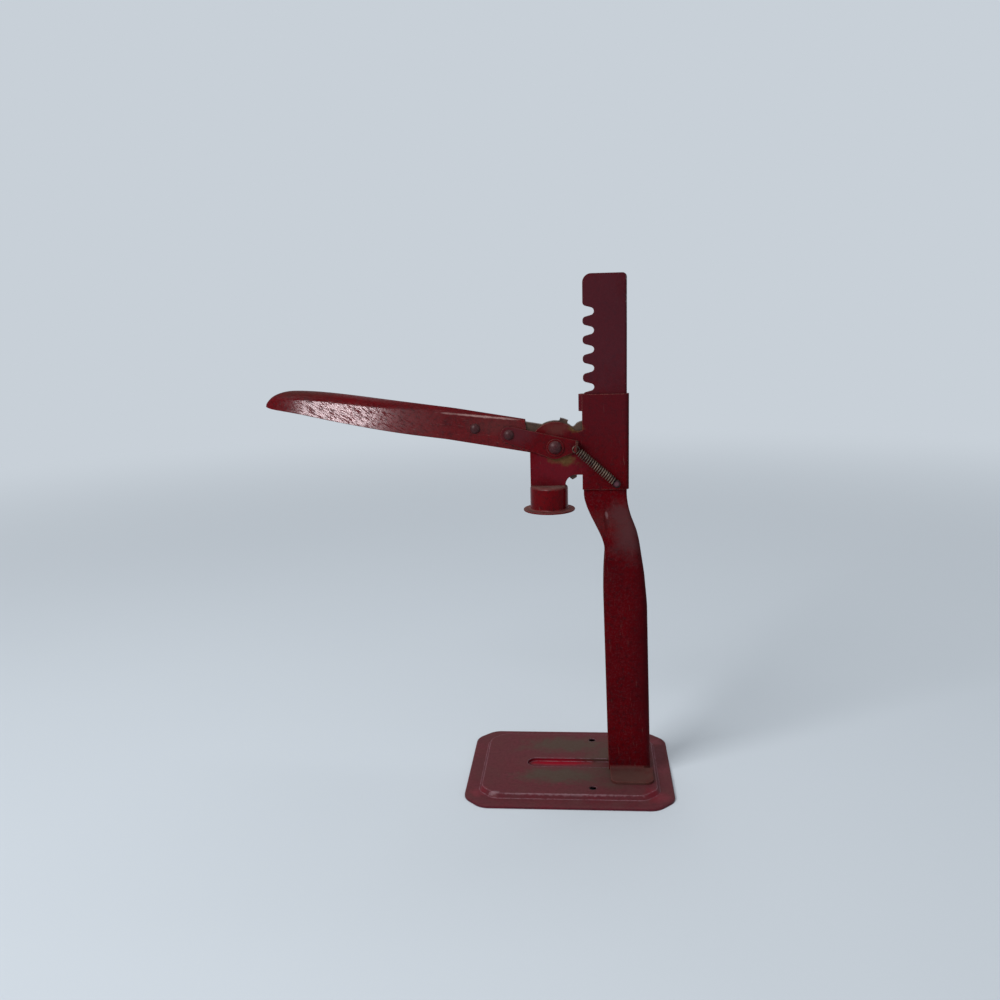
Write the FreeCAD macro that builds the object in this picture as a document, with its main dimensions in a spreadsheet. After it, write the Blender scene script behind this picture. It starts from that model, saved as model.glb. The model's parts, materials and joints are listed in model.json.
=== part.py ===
"""Hand bottle capper of pressed steel, with a toothed post and a geared lever.

The origin is at the middle of the base's footprint, on the table. X runs from the handle to the post,
Y runs from the near side to the far side and Z runs up. Lengths are in millimetres, angles in degrees.
"""

import FreeCAD, Part
import math
import os
import re

import Sketcher

Vector = FreeCAD.Vector

# Driving dimensions: a word, its size and what it measures

SIZES = [
    ("base_length", 184.0, "base, along X"),
    ("base_depth", 147.6, "base, along Y"),
    ("base_sheet", 1.3, "sheet of the base"),
    ("corner_cut", 16.0, "clipped corner of the base, along each side"),
    ("corner_round", 17.0, "rounding at both ends of a clipped corner"),
    ("flange_width", 11.8, "flat rim round the raised middle of the base"),
    ("flange_top", 2.8, "height of the rim"),
    ("lip_round", 1.8, "rounded outer edge of the rim"),
    ("plateau_top", 6.5, "height of the raised middle"),
    ("step_run", 3.0, "how far the step leans outwards"),
    ("groove_width", 17.0, "sunk groove in the base"),
    ("groove_depth", 3.4, "depth of the groove"),
    ("groove_tip", -39.0, "rounded end of the groove, along X"),
    ("groove_inside", 16.3, "other end of the groove, inside the post"),
    ("screw_hole", 3.15, "radius of the two bench screw holes"),
    ("screw_place", 20.9, "screw holes, along X"),
    ("screw_spacing", 94.4, "screw holes, across Y"),
    ("post_sheet", 2.4, "sheet that is folded into the post"),
    ("leaf_seam", 0.4, "seam between the two leaves of the rack"),
    ("rack_front", 15.0, "crests of the rack teeth, along X"),
    ("rack_back", 52.2, "fold of the rack, along X"),
    ("rack_round", 2.5, "rounding of the fold"),
    ("rack_top", 447.6, "top of the rack"),
    ("neck_gap", 4.8, "from the sleeve's bottom down to the start of the neck"),
    ("top_front_round", 7.5, "front corner of the rack's top"),
    ("top_back_round", 4.0, "back corner of the rack's top"),
    ("tooth_pitch", 15.875, "rack teeth, crest to crest"),
    ("top_land", 31.0, "from the rack's top down to the uppermost notch"),
    ("bottom_land", 12.0, "least height from the neck up to the middle of the lowest notch"),
    ("rack_addendum", 3.6, "crest of a rack tooth outside the pitch line"),
    ("tooth_depth", 9.6, "crest to root of the rack"),
    ("flank_angle", 15.0, "slope of the rack's flanks"),
    ("backlash", 0.5, "play between rack and gear along the pitch line"),
    ("crest_round", 3.2, "rounded corners of a rack tooth"),
    ("post_half", 12.5, "half of the open post's width"),
    ("post_round", 6.0, "back corners of the open post"),
    ("post_front_shift", 20.7, "front edges of the post at the base, behind the rack's crests"),
    ("post_back_shift", 21.1, "back of the post at the base, behind the rack's fold"),
    ("neck_length", 100.0, "height of the neck, from rack to shaft"),
    ("shaft_front_shift", 16.8, "front edges at the neck's end, behind the rack's crests"),
    ("shaft_back_shift", 17.6, "back at the neck's end, behind the rack's fold"),
    ("foot_overhang", 1.3, "foot flange, behind the post's front and back"),
    ("foot_width", 27.4, "foot flange, from the post's side outwards"),
    ("foot_round", 6.5, "outer corners of a foot flange"),
    ("foot_bend", 3.0, "bend between post and foot flange"),
    ("slide_gap", 0.2, "play between flat faces that slide"),
    ("pin_gap", 0.05, "play round a rivet"),
    ("head_sheet", 1.6, "sheet of the sliding head"),
    ("sleeve_reach", 1.0, "front edges of the sleeve, ahead of the rack teeth"),
    ("sleeve_drop", 37.6, "bottom of the sleeve, below the pivot"),
    ("sleeve_rise", 44.9, "top of the sleeve, above the pivot"),
    ("strap_height", 14.3, "height of the strap that closes the sleeve's front"),
    ("strap_reach", 4.0, "strap's front, ahead of the rack teeth"),
    ("gear_teeth", 11, "teeth that a full gear would have"),
    ("pivot_height", 302.4, "lever pivot above the table"),
    ("dome_radius", 21.8, "round top of the head plates, about the pivot"),
    ("throat_right", 8.5, "right edge of the plates above the bell, from the pivot"),
    ("arch_radius", 9.0, "inside curve between bell neck and sleeve"),
    ("arch_drop", 24.4, "lower edge of the plates beside the sleeve, below the pivot"),
    ("shoulder_rise", 13.9, "upper edge of the plates beside the sleeve, above the pivot"),
    ("shoulder_gap", 0.3, "straight edge between dome and shoulder curve"),
    ("shoulder_round", 3.0, "inside curve between dome and shoulder"),
    ("bell_offset", 6.0, "axis of the bell, before the pivot"),
    ("bell_drop", 33.8, "flat top of the bell, below the pivot"),
    ("bell_height", 22.2, "bell, from the rim's lower face to its flat top"),
    ("bell_radius", 16.5, "outside of the bell"),
    ("bell_sheet", 2.0, "wall of the bell"),
    ("bell_shoulder", 3.0, "rounded shoulder of the bell"),
    ("rim_radius", 22.5, "outside of the bell's rim"),
    ("rim_sheet", 1.4, "thickness of the rim"),
    ("rim_round", 0.5, "rounded edge of the rim"),
    ("rim_bend", 1.6, "bend between wall and rim"),
    ("clinch_half", 5.5, "half width of a clinched tab"),
    ("clinch_length", 1.2, "tab below the inside of the bell's top"),
    ("throat_depth", 8.2, "free depth for the cap inside the bell"),
    ("recess_radius", 7.7, "shallow recess in the plug's face"),
    ("plug_recess", 0.7, "depth of that recess"),
    ("gear_addendum", 4.5, "tips of the gear, outside the pitch circle"),
    ("gear_dedendum", 5.3, "roots of the gear, inside the pitch circle"),
    ("gear_fillet", 1.6, "curve at the root of a gear tooth"),
    ("stub_height", 2.7, "shortened last tooth, above the root"),
    ("lever_angle", 9.8, "handle above level at rest"),
    ("pivot_pin", 3.5, "radius of the pivot rivet"),
    ("pivot_head", 5.8, "radius of the pivot rivet's heads"),
    ("pivot_dome", 3.2, "height of the pivot rivet's heads"),
    ("washer_radius", 7.4, "outside of the pivot washers"),
    ("washer_sheet", 1.0, "thickness of the pivot washers"),
    ("shank_top", 17.2, "upper edge of the gear's shank"),
    ("shank_foot", 4.0, "lower edge of the shank, below the pivot line"),
    ("shank_end", 84.0, "end of the shank inside the handle"),
    ("rear_rivet_place", 70.8, "rear handle rivet from the pivot"),
    ("rear_rivet_rise", 4.9, "rear handle rivet above the pivot line"),
    ("front_rivet_place", 41.0, "front handle rivet from the pivot"),
    ("wall_foot", 3.9, "lower edge of the handle's walls, below the shank"),
    ("front_rivet_rise", 4.4, "front handle rivet above the pivot line"),
    ("rivet_pin", 2.5, "radius of the handle rivets"),
    ("rivet_head", 4.6, "radius of the handle rivets' heads"),
    ("rivet_dome", 2.6, "height of the handle rivets' heads"),
    ("arm_sheet", 2.0, "sheet of the two outer arms"),
    ("arm_end_radius", 7.2, "round end of an arm, about the front rivet"),
    ("arm_lobe_radius", 10.1, "round lobe of an arm, about the pivot"),
    ("tail_reach", 18.8, "tail of an arm behind the pivot"),
    ("tail_top", 8.6, "upper corner of the tail"),
    ("tail_foot", 0.4, "lower corner of the tail, below the pivot line"),
    ("ear_margin", 5.0, "spring ear, outside the spring's axis"),
    ("ear_hole", 1.3, "radius of the hole in the ear"),
    ("ear_hole_rise", 4.4, "hole in the ear above the pivot line"),
    ("wire", 1.1, "spring wire"),
    ("coil_radius", 3.4, "spring, axis to middle of the wire"),
    ("loop_room", 0.45, "play between an end loop and the ear's lower edge"),
    ("coil_turns", 18, "turns of the spring"),
    ("coil_steps", 9, "straight steps that make up a turn"),
    ("spring_room", 0.65, "play between the coil and the sleeve"),
    ("stud_inset", 9.0, "spring stud, before the rack's fold"),
    ("stud_drop", 31.8, "spring stud, below the pivot"),
    ("stud_radius", 1.9, "spring stud"),
    ("stud_collar", 3.0, "collar of the stud"),
    ("stud_head", 3.4, "radius of the stud's head"),
    ("stud_cap", 1.3, "thickness of the stud's head"),
    ("handle_bend", 0.3, "inside bend of the handle's shoulders"),
    ("grip_end_gap", 0.1, "play between handle and head plate at the stop"),
    ("top_wall_end", 29.6, "right end of the handle's top, from the pivot"),
]

# Cross sections of the neck, downwards: distance below the rack, how far the front edges lie behind the
# rack's crests and the back behind its fold, how much wider each half and each back corner is than there

NECK = [
    (10.0, 2.4, 1.2, 0.3, 0.2),
    (19.5, 6.6, 3.7, 2.6, 1.1),
    (28.5, 11.4, 7.0, 6.2, 2.3),
    (37.0, 15.4, 9.7, 8.8, 3.3),
    (47.0, 17.7, 11.5, 9.9, 3.5),
    (57.0, 17.6, 13.0, 10.0, 3.5),
    (68.0, 16.9, 14.7, 10.0, 3.5),
    (80.0, 16.6, 15.9, 9.9, 3.5),
    (89.0, 16.6, 16.8, 9.9, 3.5),
    (96.0, 16.7, 17.3, 9.9, 3.5),
]

# Cross sections of the grip, towards the tip: distance from the end of the gear's shank, how much higher
# the top, lower the bottom, wider each half and larger the shoulders are than over the shank

GRIP = [
    (11.0, -0.1, 0.0, 0.3, 0.2),
    (22.0, -0.5, 0.2, 1.5, 1.0),
    (36.0, -1.0, 0.4, 3.3, 2.2),
    (56.0, -1.7, 0.4, 5.4, 3.7),
    (86.0, -2.5, -0.2, 6.5, 4.7),
    (116.0, -3.6, -1.3, 6.6, 4.9),
    (145.0, -6.2, -2.5, 6.0, 4.7),
    (160.0, -10.0, -2.3, 3.6, 3.3),
    (168.0, -15.6, -2.3, 0.4, 1.3),
    (172.0, -21.4, -2.9, -2.8, -1.1),
]

doc = FreeCAD.newDocument("bottle_capper")
sheet = doc.addObject("Spreadsheet::Sheet", "Sizes")


def fill_sheet():
    """Write the driving dimensions and both tables of sections, each cell with its alias."""
    rows = list(SIZES)
    for number, section in enumerate(NECK):
        for word, number_value in zip(("drop", "front", "back", "half", "round"), section):
            rows.append((f"neck_{number}_{word}", number_value, f"neck section {number}, {word}"))
    for number, section in enumerate(GRIP):
        for word, number_value in zip(("place", "top", "foot", "half", "round"), section):
            rows.append((f"grip_{number}_{word}", number_value, f"grip section {number}, {word}"))
    for row, (alias, number_value, meaning) in enumerate(rows, start=1):
        sheet.set(f"A{row}", meaning)
        sheet.set(f"B{row}", str(number_value))
        sheet.setAlias(f"B{row}", alias)
    doc.recompute()
    return {alias for alias, number_value, meaning in rows}


ALIASES = fill_sheet()


def bind(words):
    """Turn a formula of plain aliases into an expression on the sheet."""
    return re.sub(r"[a-z][a-z0-9_]*", lambda m: "Sizes." + m[0] if m[0] in ALIASES else m[0], str(words))


def value(words):
    """The present value of a formula of aliases."""
    return float(sheet.evalExpression(bind(words)))


# Heights of the faces across Y, from the middle plane outwards

LEAF = "(post_sheet + leaf_seam / 2)"
PLATE_IN = f"({LEAF} + slide_gap)"
PLATE_OUT = f"({PLATE_IN} + head_sheet)"
ARM_IN = f"({PLATE_OUT} + slide_gap)"
ARM_OUT = f"({ARM_IN} + arm_sheet)"
HANDLE_WALL = f"({ARM_IN} - {LEAF})"
PITCH_RADIUS = "(gear_teeth * tooth_pitch / (2 * pi))"
PIVOT_X = f"(rack_front + rack_addendum - {PITCH_RADIUS})"
GEAR_ROOT = f"({PITCH_RADIUS} - gear_dedendum)"
GEAR_TIP = f"({PITCH_RADIUS} + gear_addendum)"
SPRING_Y = f"({PLATE_OUT} + spring_room + wire / 2 + coil_radius)"
LOOP_RADIUS = "((ear_hole_rise + tail_foot + loop_room + wire / 2) / 2)"

# Places that the head's pieces share, all from the pivot or the rack

SLEEVE_FRONT = "(rack_front - sleeve_reach)"
SLEEVE_BACK = "(rack_back + slide_gap + head_sheet)"
SLEEVE_FOOT = "(pivot_height - sleeve_drop)"
SLEEVE_TOP = "(pivot_height + sleeve_rise)"
BELL_X = f"({PIVOT_X} - bell_offset)"
BELL_TOP = "(pivot_height - bell_drop)"
BELL_MOUTH = f"({BELL_TOP} - bell_height)"
TAB_FOOT = f"({BELL_TOP} - bell_sheet - clinch_length)"
STUD_X = "(rack_back - stud_inset)"
STUD_Z = "(pivot_height - stud_drop)"

# Places along the post

TOP_NOTCH = "(rack_top - top_land)"
RACK_FOOT = f"({SLEEVE_FOOT} - neck_gap)"
NOTCH_STEPS = f"floor(({TOP_NOTCH} - {RACK_FOOT} - bottom_land) / tooth_pitch)"
SHAFT_TOP = f"({RACK_FOOT} - neck_length)"
POST_FRONT = "(rack_front + post_front_shift)"
POST_BACK = "(rack_back + post_back_shift)"


# Sketches: an outline is a belt laid round corners and discs, counterclockwise


def belt(elements):
    """Lines and arcs of a belt. An element is (x, y), (x, y, radius) or (x, y, radius, "inside")."""
    discs = []
    for element in elements:
        radius = value(element[2]) if len(element) > 2 else 0.0
        turn = -1.0 if len(element) > 3 else 1.0
        discs.append((value(element[0]), value(element[1]), radius * turn))
    runs = []
    for (ax, ay, ar), (bx, by, br) in zip(discs, discs[1:] + discs[:1]):
        reach = math.hypot(bx - ax, by - ay)
        normal = math.atan2(by - ay, bx - ax) - math.acos((ar - br) / reach)
        nx, ny = math.cos(normal), math.sin(normal)
        runs.append((Vector(ax + ar * nx, ay + ar * ny, 0), Vector(bx + br * nx, by + br * ny, 0)))
    return discs, runs


def arc_between(x, y, radius, enter, leave):
    """The arc on which the belt goes round a disc, always drawn counterclockwise."""
    first, last = (enter, leave) if radius > 0 else (leave, enter)
    start = math.atan2(first.y - y, first.x - x)
    end = math.atan2(last.y - y, last.x - x)
    circle = Part.Circle(Vector(x, y, 0), Vector(0, 0, 1), abs(radius))
    return Part.ArcOfCircle(circle, start, end)


def pin_point(sketch, geometry, point, x, y):
    """Hold a point of the sketch at a place worked out from the sheet."""
    for kind, words in (("DistanceX", x), ("DistanceY", y)):
        held = sketch.addConstraint(Sketcher.Constraint(kind, -1, 1, geometry, point, value(words)))
        sketch.setExpression(f"Constraints[{held}]", bind(words))


def set_radius(sketch, geometry, words):
    """Hold a radius at a size from the sheet."""
    held = sketch.addConstraint(Sketcher.Constraint("Radius", geometry, value(words)))
    sketch.setExpression(f"Constraints[{held}]", bind(words))


def draw_belt(sketch, elements):
    """Draw a belt in a sketch, fully constrained."""
    discs, runs = belt(elements)
    lines = [sketch.addGeometry(Part.LineSegment(start, end), False) for start, end in runs]
    for place, element in enumerate(elements):
        before, after = lines[place - 1], lines[place]
        x, y, radius = discs[place]
        if radius == 0.0:
            sketch.addConstraint(Sketcher.Constraint("Coincident", before, 2, after, 1))
            pin_point(sketch, after, 1, element[0], element[1])
            continue
        arc = sketch.addGeometry(arc_between(x, y, radius, runs[place - 1][1], runs[place][0]), False)
        enter, leave = (1, 2) if radius > 0 else (2, 1)
        sketch.addConstraint(Sketcher.Constraint("Tangent", before, 2, arc, enter))
        sketch.addConstraint(Sketcher.Constraint("Tangent", arc, leave, after, 1))
        pin_point(sketch, arc, 3, element[0], element[1])
        set_radius(sketch, arc, element[2])


def draw_circle(sketch, x, y, radius):
    """Draw a circle in a sketch, fully constrained."""
    circle = Part.Circle(Vector(value(x), value(y), 0), Vector(0, 0, 1), value(radius))
    geometry = sketch.addGeometry(circle, False)
    pin_point(sketch, geometry, 3, x, y)
    set_radius(sketch, geometry, radius)


# Features of a body


def new_body(label):
    """An empty body whose label names the piece."""
    body = doc.addObject("PartDesign::Body", label)
    body.Label = label
    return body


def origin_part(body, role):
    """A plane or axis of the body's own origin."""
    return next(part for part in body.Origin.OriginFeatures if part.Role == role)


def new_sketch(body, name, plane, shift="0", belts=(), circles=()):
    """A sketch on one of the body's origin planes, moved along that plane's normal."""
    sketch = body.newObject("Sketcher::SketchObject", name)
    sketch.AttachmentSupport = [(origin_part(body, plane), "")]
    sketch.MapMode = "FlatFace"
    sketch.setExpression("AttachmentOffset.Base.z", bind(shift))
    for elements in belts:
        draw_belt(sketch, elements)
    for x, y, radius in circles:
        draw_circle(sketch, x, y, radius)
    return sketch


def extrude(body, kind, name, sketch, length, side="One side", backwards=False):
    """A Pad or a Pocket of a sketch."""
    feature = body.newObject("PartDesign::" + kind, name)
    feature.Profile = sketch
    feature.SideType = side
    feature.Reversed = backwards
    feature.setExpression("Length", bind(length))
    doc.recompute()
    return feature


def loft(body, kind, name, sketches, ruled=False):
    """An AdditiveLoft or a SubtractiveLoft through sketches."""
    feature = body.newObject("PartDesign::" + kind, name)
    feature.Profile = sketches[0]
    feature.Sections = sketches[1:]
    feature.Ruled = ruled
    doc.recompute()
    return feature


def revolve(body, name, sketch, axis):
    """A full turn of a sketch about an axis of the body's origin."""
    feature = body.newObject("PartDesign::Revolution", name)
    feature.Profile = sketch
    feature.ReferenceAxis = (origin_part(body, axis), [""])
    feature.Angle = 360
    doc.recompute()
    return feature


def mirror(body, name, features, plane):
    """The features again, mirrored in a plane of the body's origin."""
    feature = body.newObject("PartDesign::Mirrored", name)
    feature.Originals = features
    feature.MirrorPlane = (origin_part(body, plane), [""])
    body.Tip = feature
    doc.recompute()
    return feature


def upright_edges(shape, places):
    """Names of the straight upright edges that stand at the given places, (x, y)."""
    names = []
    for number, edge in enumerate(shape.Edges, start=1):
        low, high = edge.Vertexes[0].Point, edge.Vertexes[-1].Point
        if math.hypot(low.x - high.x, low.y - high.y) > 0.01:
            continue
        if any(math.hypot(low.x - x, low.y - y) < 0.01 for x, y in places):
            names.append(f"Edge{number}")
    return names


def dress(body, kind, name, base, edges, size_name, size):
    """A Fillet or a Chamfer on chosen edges."""
    feature = body.newObject("PartDesign::" + kind, name)
    feature.Base = (base, edges)
    feature.setExpression(size_name, bind(size))
    doc.recompute()
    return feature


PIECES = {}


def keep(label, piece):
    """List a finished piece under its node's name."""
    piece.Label = label
    PIECES[label] = piece
    return piece


def place_on_lever(piece):
    """Seat a piece that was drawn with the lever level and the pivot at its origin."""
    piece.Placement = FreeCAD.Placement(Vector(0, 0, 0), FreeCAD.Rotation(Vector(0, 1, 0), 1))
    piece.setExpression("Placement.Base.x", bind(PIVOT_X))
    piece.setExpression("Placement.Base.z", bind("pivot_height"))
    piece.setExpression("Placement.Rotation.Angle", bind("lever_angle"))


# Base: a pressed tray, made as its outer form less its inner form


def clipped_outline(half_length, half_depth, cut, rounding):
    """A rectangle with clipped corners whose eight corners are rounded."""
    lean = f"({rounding} * tan(22.5))"
    corners = []
    for sx, sy, order in ((1, -1, 1), (1, 1, -1), (-1, 1, 1), (-1, -1, -1)):
        beside = (
            f"{sx} * ({half_length} - {rounding})",
            f"{sy} * ({half_depth} - {cut} - {lean})",
            rounding,
        )
        below = (
            f"{sx} * ({half_length} - {cut} - {lean})",
            f"{sy} * ({half_depth} - {rounding})",
            rounding,
        )
        corners += [below, beside] if order == 1 else [beside, below]
    return corners


def pressed_form(name, inset):
    """The tray's solid form, with every face moved in by the inset."""
    body = new_body(name)
    half_length = f"(base_length / 2 - {inset})"
    half_depth = f"(base_depth / 2 - {inset})"
    rounding = f"(corner_round - {inset} * 0.6)"
    rim = clipped_outline(half_length, half_depth, "corner_cut", rounding)
    rim_sketch = new_sketch(body, name + "_rim", "XY_Plane", "0", [rim])
    rim_pad = extrude(body, "Pad", name + "_flange", rim_sketch, f"flange_top - {inset}")
    inner_length = f"({half_length} - flange_width)"
    inner_depth = f"({half_depth} - flange_width)"
    foot = clipped_outline(inner_length, inner_depth, "corner_cut * 0.8", f"({rounding} * 0.8)")
    foot_sketch = new_sketch(body, name + "_step_foot", "XY_Plane", f"flange_top - {inset} - 1", [foot])
    brow_length = f"({inner_length} - step_run)"
    brow_depth = f"({inner_depth} - step_run)"
    brow = clipped_outline(brow_length, brow_depth, "corner_cut * 0.75", f"({rounding} * 0.7)")
    brow_sketch = new_sketch(body, name + "_step_brow", "XY_Plane", f"plateau_top - {inset}", [brow])
    loft(body, "AdditiveLoft", name + "_plateau", [foot_sketch, brow_sketch], ruled=True)
    wide = f"(groove_width / 2 + {inset})"
    groove_end = f"{POST_FRONT} + groove_inside + {inset}"
    groove = [
        (f"groove_tip - {inset} + {wide}", "0", wide),
        (groove_end, f"-{wide}"),
        (groove_end, wide),
    ]
    groove_sketch = new_sketch(body, name + "_groove_line", "XY_Plane", f"plateau_top - {inset}", [groove])
    extrude(body, "Pocket", name + "_groove", groove_sketch, "groove_depth")
    return body, rim_pad


def rim_edges(shape, height, inside):
    """Names of the edges at a height that lie outside the raised middle."""
    names = []
    for number, edge in enumerate(shape.Edges, start=1):
        box = edge.BoundBox
        level = abs(box.ZMin - height) < 0.01 and abs(box.ZMax - height) < 0.01
        beyond_x = max(abs(box.XMin), abs(box.XMax)) > inside[0]
        beyond_y = max(abs(box.YMin), abs(box.YMax)) > inside[1]
        if level and (beyond_x or beyond_y):
            names.append(f"Edge{number}")
    return names


def make_base():
    """The pressed base with its rim, step, groove and two screw holes."""
    outer, outer_rim = pressed_form("base_outside", "0")
    inner, inner_rim = pressed_form("base_inside", "base_sheet")
    inside = (value("base_length / 2 - flange_width / 2"), value("base_depth / 2 - flange_width / 2"))
    edges = rim_edges(outer.Shape, value("flange_top"), inside)
    dress(outer, "Fillet", "base_lip", outer.Tip, edges, "Radius", "lip_round")
    hollow = doc.addObject("Part::Cut", "base_tray")
    hollow.Base = outer
    hollow.Tool = inner
    holes = []
    for side in (-1, 1):
        hole = doc.addObject("Part::Cylinder", "screw_hole_near" if side < 0 else "screw_hole_far")
        hole.setExpression("Radius", bind("screw_hole"))
        hole.setExpression("Height", bind("plateau_top + 2"))
        hole.setExpression("Placement.Base.x", bind("screw_place"))
        hole.setExpression("Placement.Base.y", bind(f"{side} * screw_spacing / 2"))
        holes.append(hole)
    tools = doc.addObject("Part::MultiFuse", "screw_holes")
    tools.Shapes = holes
    drilled = doc.addObject("Part::Cut", "base_drilled")
    drilled.Base = hollow
    drilled.Tool = tools
    doc.recompute()
    keep("base_plate", drilled)


# Post: one sheet folded at the back, pressed flat and toothed above, open in front below


def folded_section(front, back, half, rounding, wall):
    """A sheet folded round at the back, seen from above, with its two leaves' edges in front."""
    inner = f"({rounding} - {wall})"
    return [
        (front, f"-({half})"),
        (f"{back} - {rounding}", f"-({half}) + {rounding}", rounding),
        (f"{back} - {rounding}", f"{half} - {rounding}", rounding),
        (front, half),
        (front, f"{half} - {wall}"),
        (f"{back} - {rounding}", f"{half} - {rounding}", inner, "inside"),
        (f"{back} - {rounding}", f"-({half}) + {rounding}", inner, "inside"),
        (front, f"-({half} - {wall})"),
    ]


def notch_outline():
    """One notch between two rack teeth, with the rounded corners of both crests."""
    centre = TOP_NOTCH
    steep = "tan(flank_angle)"
    level = "cos(flank_angle)"
    half_mouth = f"(tooth_pitch / 4 + backlash / 4 + rack_addendum * {steep})"
    half_floor = f"({half_mouth} - tooth_depth * {steep})"
    floor_round = f"({half_floor} * {level} / (1 - sin(flank_angle)))"
    corner_rise = f"({half_mouth} + crest_round * (1 / {level} - {steep}))"
    deep = f"rack_front + tooth_depth - {floor_round}"
    return [
        ("rack_front - crest_round", f"{centre} - tooth_pitch / 2"),
        ("rack_front", f"{centre} - tooth_pitch / 2"),
        ("rack_front + crest_round", f"{centre} - {corner_rise}", "crest_round", "inside"),
        (deep, centre, floor_round),
        ("rack_front + crest_round", f"{centre} + {corner_rise}", "crest_round", "inside"),
        ("rack_front", f"{centre} + tooth_pitch / 2"),
        ("rack_front - crest_round", f"{centre} + tooth_pitch / 2"),
    ]


def top_corners():
    """What is cut away at the front and the back corner of the rack's top."""
    front_x = "rack_front + top_front_round"
    front_z = "rack_top - top_front_round"
    back_x = "rack_back - top_back_round"
    back_z = "rack_top - top_back_round"
    front = [
        ("rack_front - 1", f"{front_z} - 1"),
        ("rack_front", f"{front_z} - 1"),
        (front_x, front_z, "top_front_round", "inside"),
        (f"{front_x} + 1", "rack_top"),
        (f"{front_x} + 1", "rack_top + 1"),
        ("rack_front - 1", "rack_top + 1"),
    ]
    back = [
        ("rack_back + 1", f"{back_z} - 1"),
        ("rack_back + 1", "rack_top + 1"),
        (f"{back_x} - 1", "rack_top + 1"),
        (f"{back_x} - 1", "rack_top"),
        (back_x, back_z, "top_back_round", "inside"),
        ("rack_back", f"{back_z} - 1"),
    ]
    return [("top_front_corner", front), ("top_back_corner", back)]


def make_post():
    """The post from the foot flanges to the top of the rack."""
    body = new_body("post")
    rack = folded_section("rack_front", "rack_back", LEAF, "rack_round", "post_sheet")
    rack_sketch = new_sketch(body, "rack_section", "XY_Plane", RACK_FOOT, [rack])
    extrude(body, "Pad", "rack_leaves", rack_sketch, f"rack_top - {RACK_FOOT}")
    for name, corner in top_corners():
        corner_sketch = new_sketch(body, name + "_line", "XZ_Plane", "0", [corner])
        extrude(body, "Pocket", name, corner_sketch, f"3 * {LEAF}", "Symmetric")
    notch_sketch = new_sketch(body, "notch_line", "XZ_Plane", "0", [notch_outline()])
    notch = extrude(body, "Pocket", "notch", notch_sketch, f"3 * {LEAF}", "Symmetric")
    notches = body.newObject("PartDesign::LinearPattern", "notches")
    notches.Originals = [notch]
    notches.Direction = (origin_part(body, "Z_Axis"), [""])
    notches.Reversed = True
    notches.setExpression("Length", bind(f"tooth_pitch * {NOTCH_STEPS}"))
    notches.setExpression("Occurrences", bind(f"{NOTCH_STEPS} + 1"))
    body.Tip = notches
    doc.recompute()
    sections = [new_sketch(body, "neck_top", "XY_Plane", RACK_FOOT, [rack])]
    for number in range(len(NECK)):
        place = f"neck_{number}_"
        outline = folded_section(
            f"(rack_front + {place}front)",
            f"(rack_back + {place}back)",
            f"({LEAF} + {place}half)",
            f"(rack_round + {place}round)",
            "post_sheet",
        )
        height = f"{RACK_FOOT} - {place}drop"
        sections.append(new_sketch(body, place + "section", "XY_Plane", height, [outline]))
    shaft_front = "(rack_front + shaft_front_shift)"
    shaft_back = "(rack_back + shaft_back_shift)"
    shaft = folded_section(shaft_front, shaft_back, "post_half", "post_round", "post_sheet")
    sections.append(new_sketch(body, "shaft_section", "XY_Plane", SHAFT_TOP, [shaft]))
    loft(body, "AdditiveLoft", "neck", sections)
    foot = folded_section(POST_FRONT, POST_BACK, "post_half", "post_round", "post_sheet")
    foot_section = new_sketch(body, "foot_section", "XY_Plane", "plateau_top", [foot])
    shaft_again = new_sketch(body, "shaft_start", "XY_Plane", SHAFT_TOP, [shaft])
    loft(body, "AdditiveLoft", "shaft", [foot_section, shaft_again], ruled=True)
    inside = "post_half - post_sheet / 2"
    flange_height = "(plateau_top + post_sheet)"
    bend_line = [
        (inside, "plateau_top"),
        ("post_half + foot_bend + 1", "plateau_top"),
        ("post_half + foot_bend + 1", flange_height),
        ("post_half + foot_bend", f"{flange_height} + foot_bend", "foot_bend", "inside"),
        ("post_half", f"{flange_height} + foot_bend + 1"),
        (inside, f"{flange_height} + foot_bend + 1"),
    ]
    foot_front = f"({POST_FRONT} + foot_overhang)"
    foot_back = f"({POST_BACK} + foot_overhang)"
    foot_side = "(post_half + foot_width)"
    bend_sketch = new_sketch(body, "foot_bend_line", "YZ_Plane", foot_front, [bend_line])
    bend_pad = extrude(body, "Pad", "foot_bend", bend_sketch, f"{POST_BACK} - post_round - {foot_front}")
    flange = [
        (foot_front, "post_half"),
        (foot_back, "post_half"),
        (f"{foot_back} - foot_round", f"{foot_side} - foot_round", "foot_round"),
        (f"{foot_front} + foot_round", f"{foot_side} - foot_round", "foot_round"),
    ]
    flange_sketch = new_sketch(body, "foot_flange_line", "XY_Plane", "plateau_top", [flange])
    flange_pad = extrude(body, "Pad", "foot_flange", flange_sketch, "post_sheet")
    mirror(body, "near_foot", [bend_pad, flange_pad], "XZ_Plane")
    keep("toothed_post", body)


# Head: one sheet folded round the back of the rack, its leaves carrying lever and bell


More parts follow.
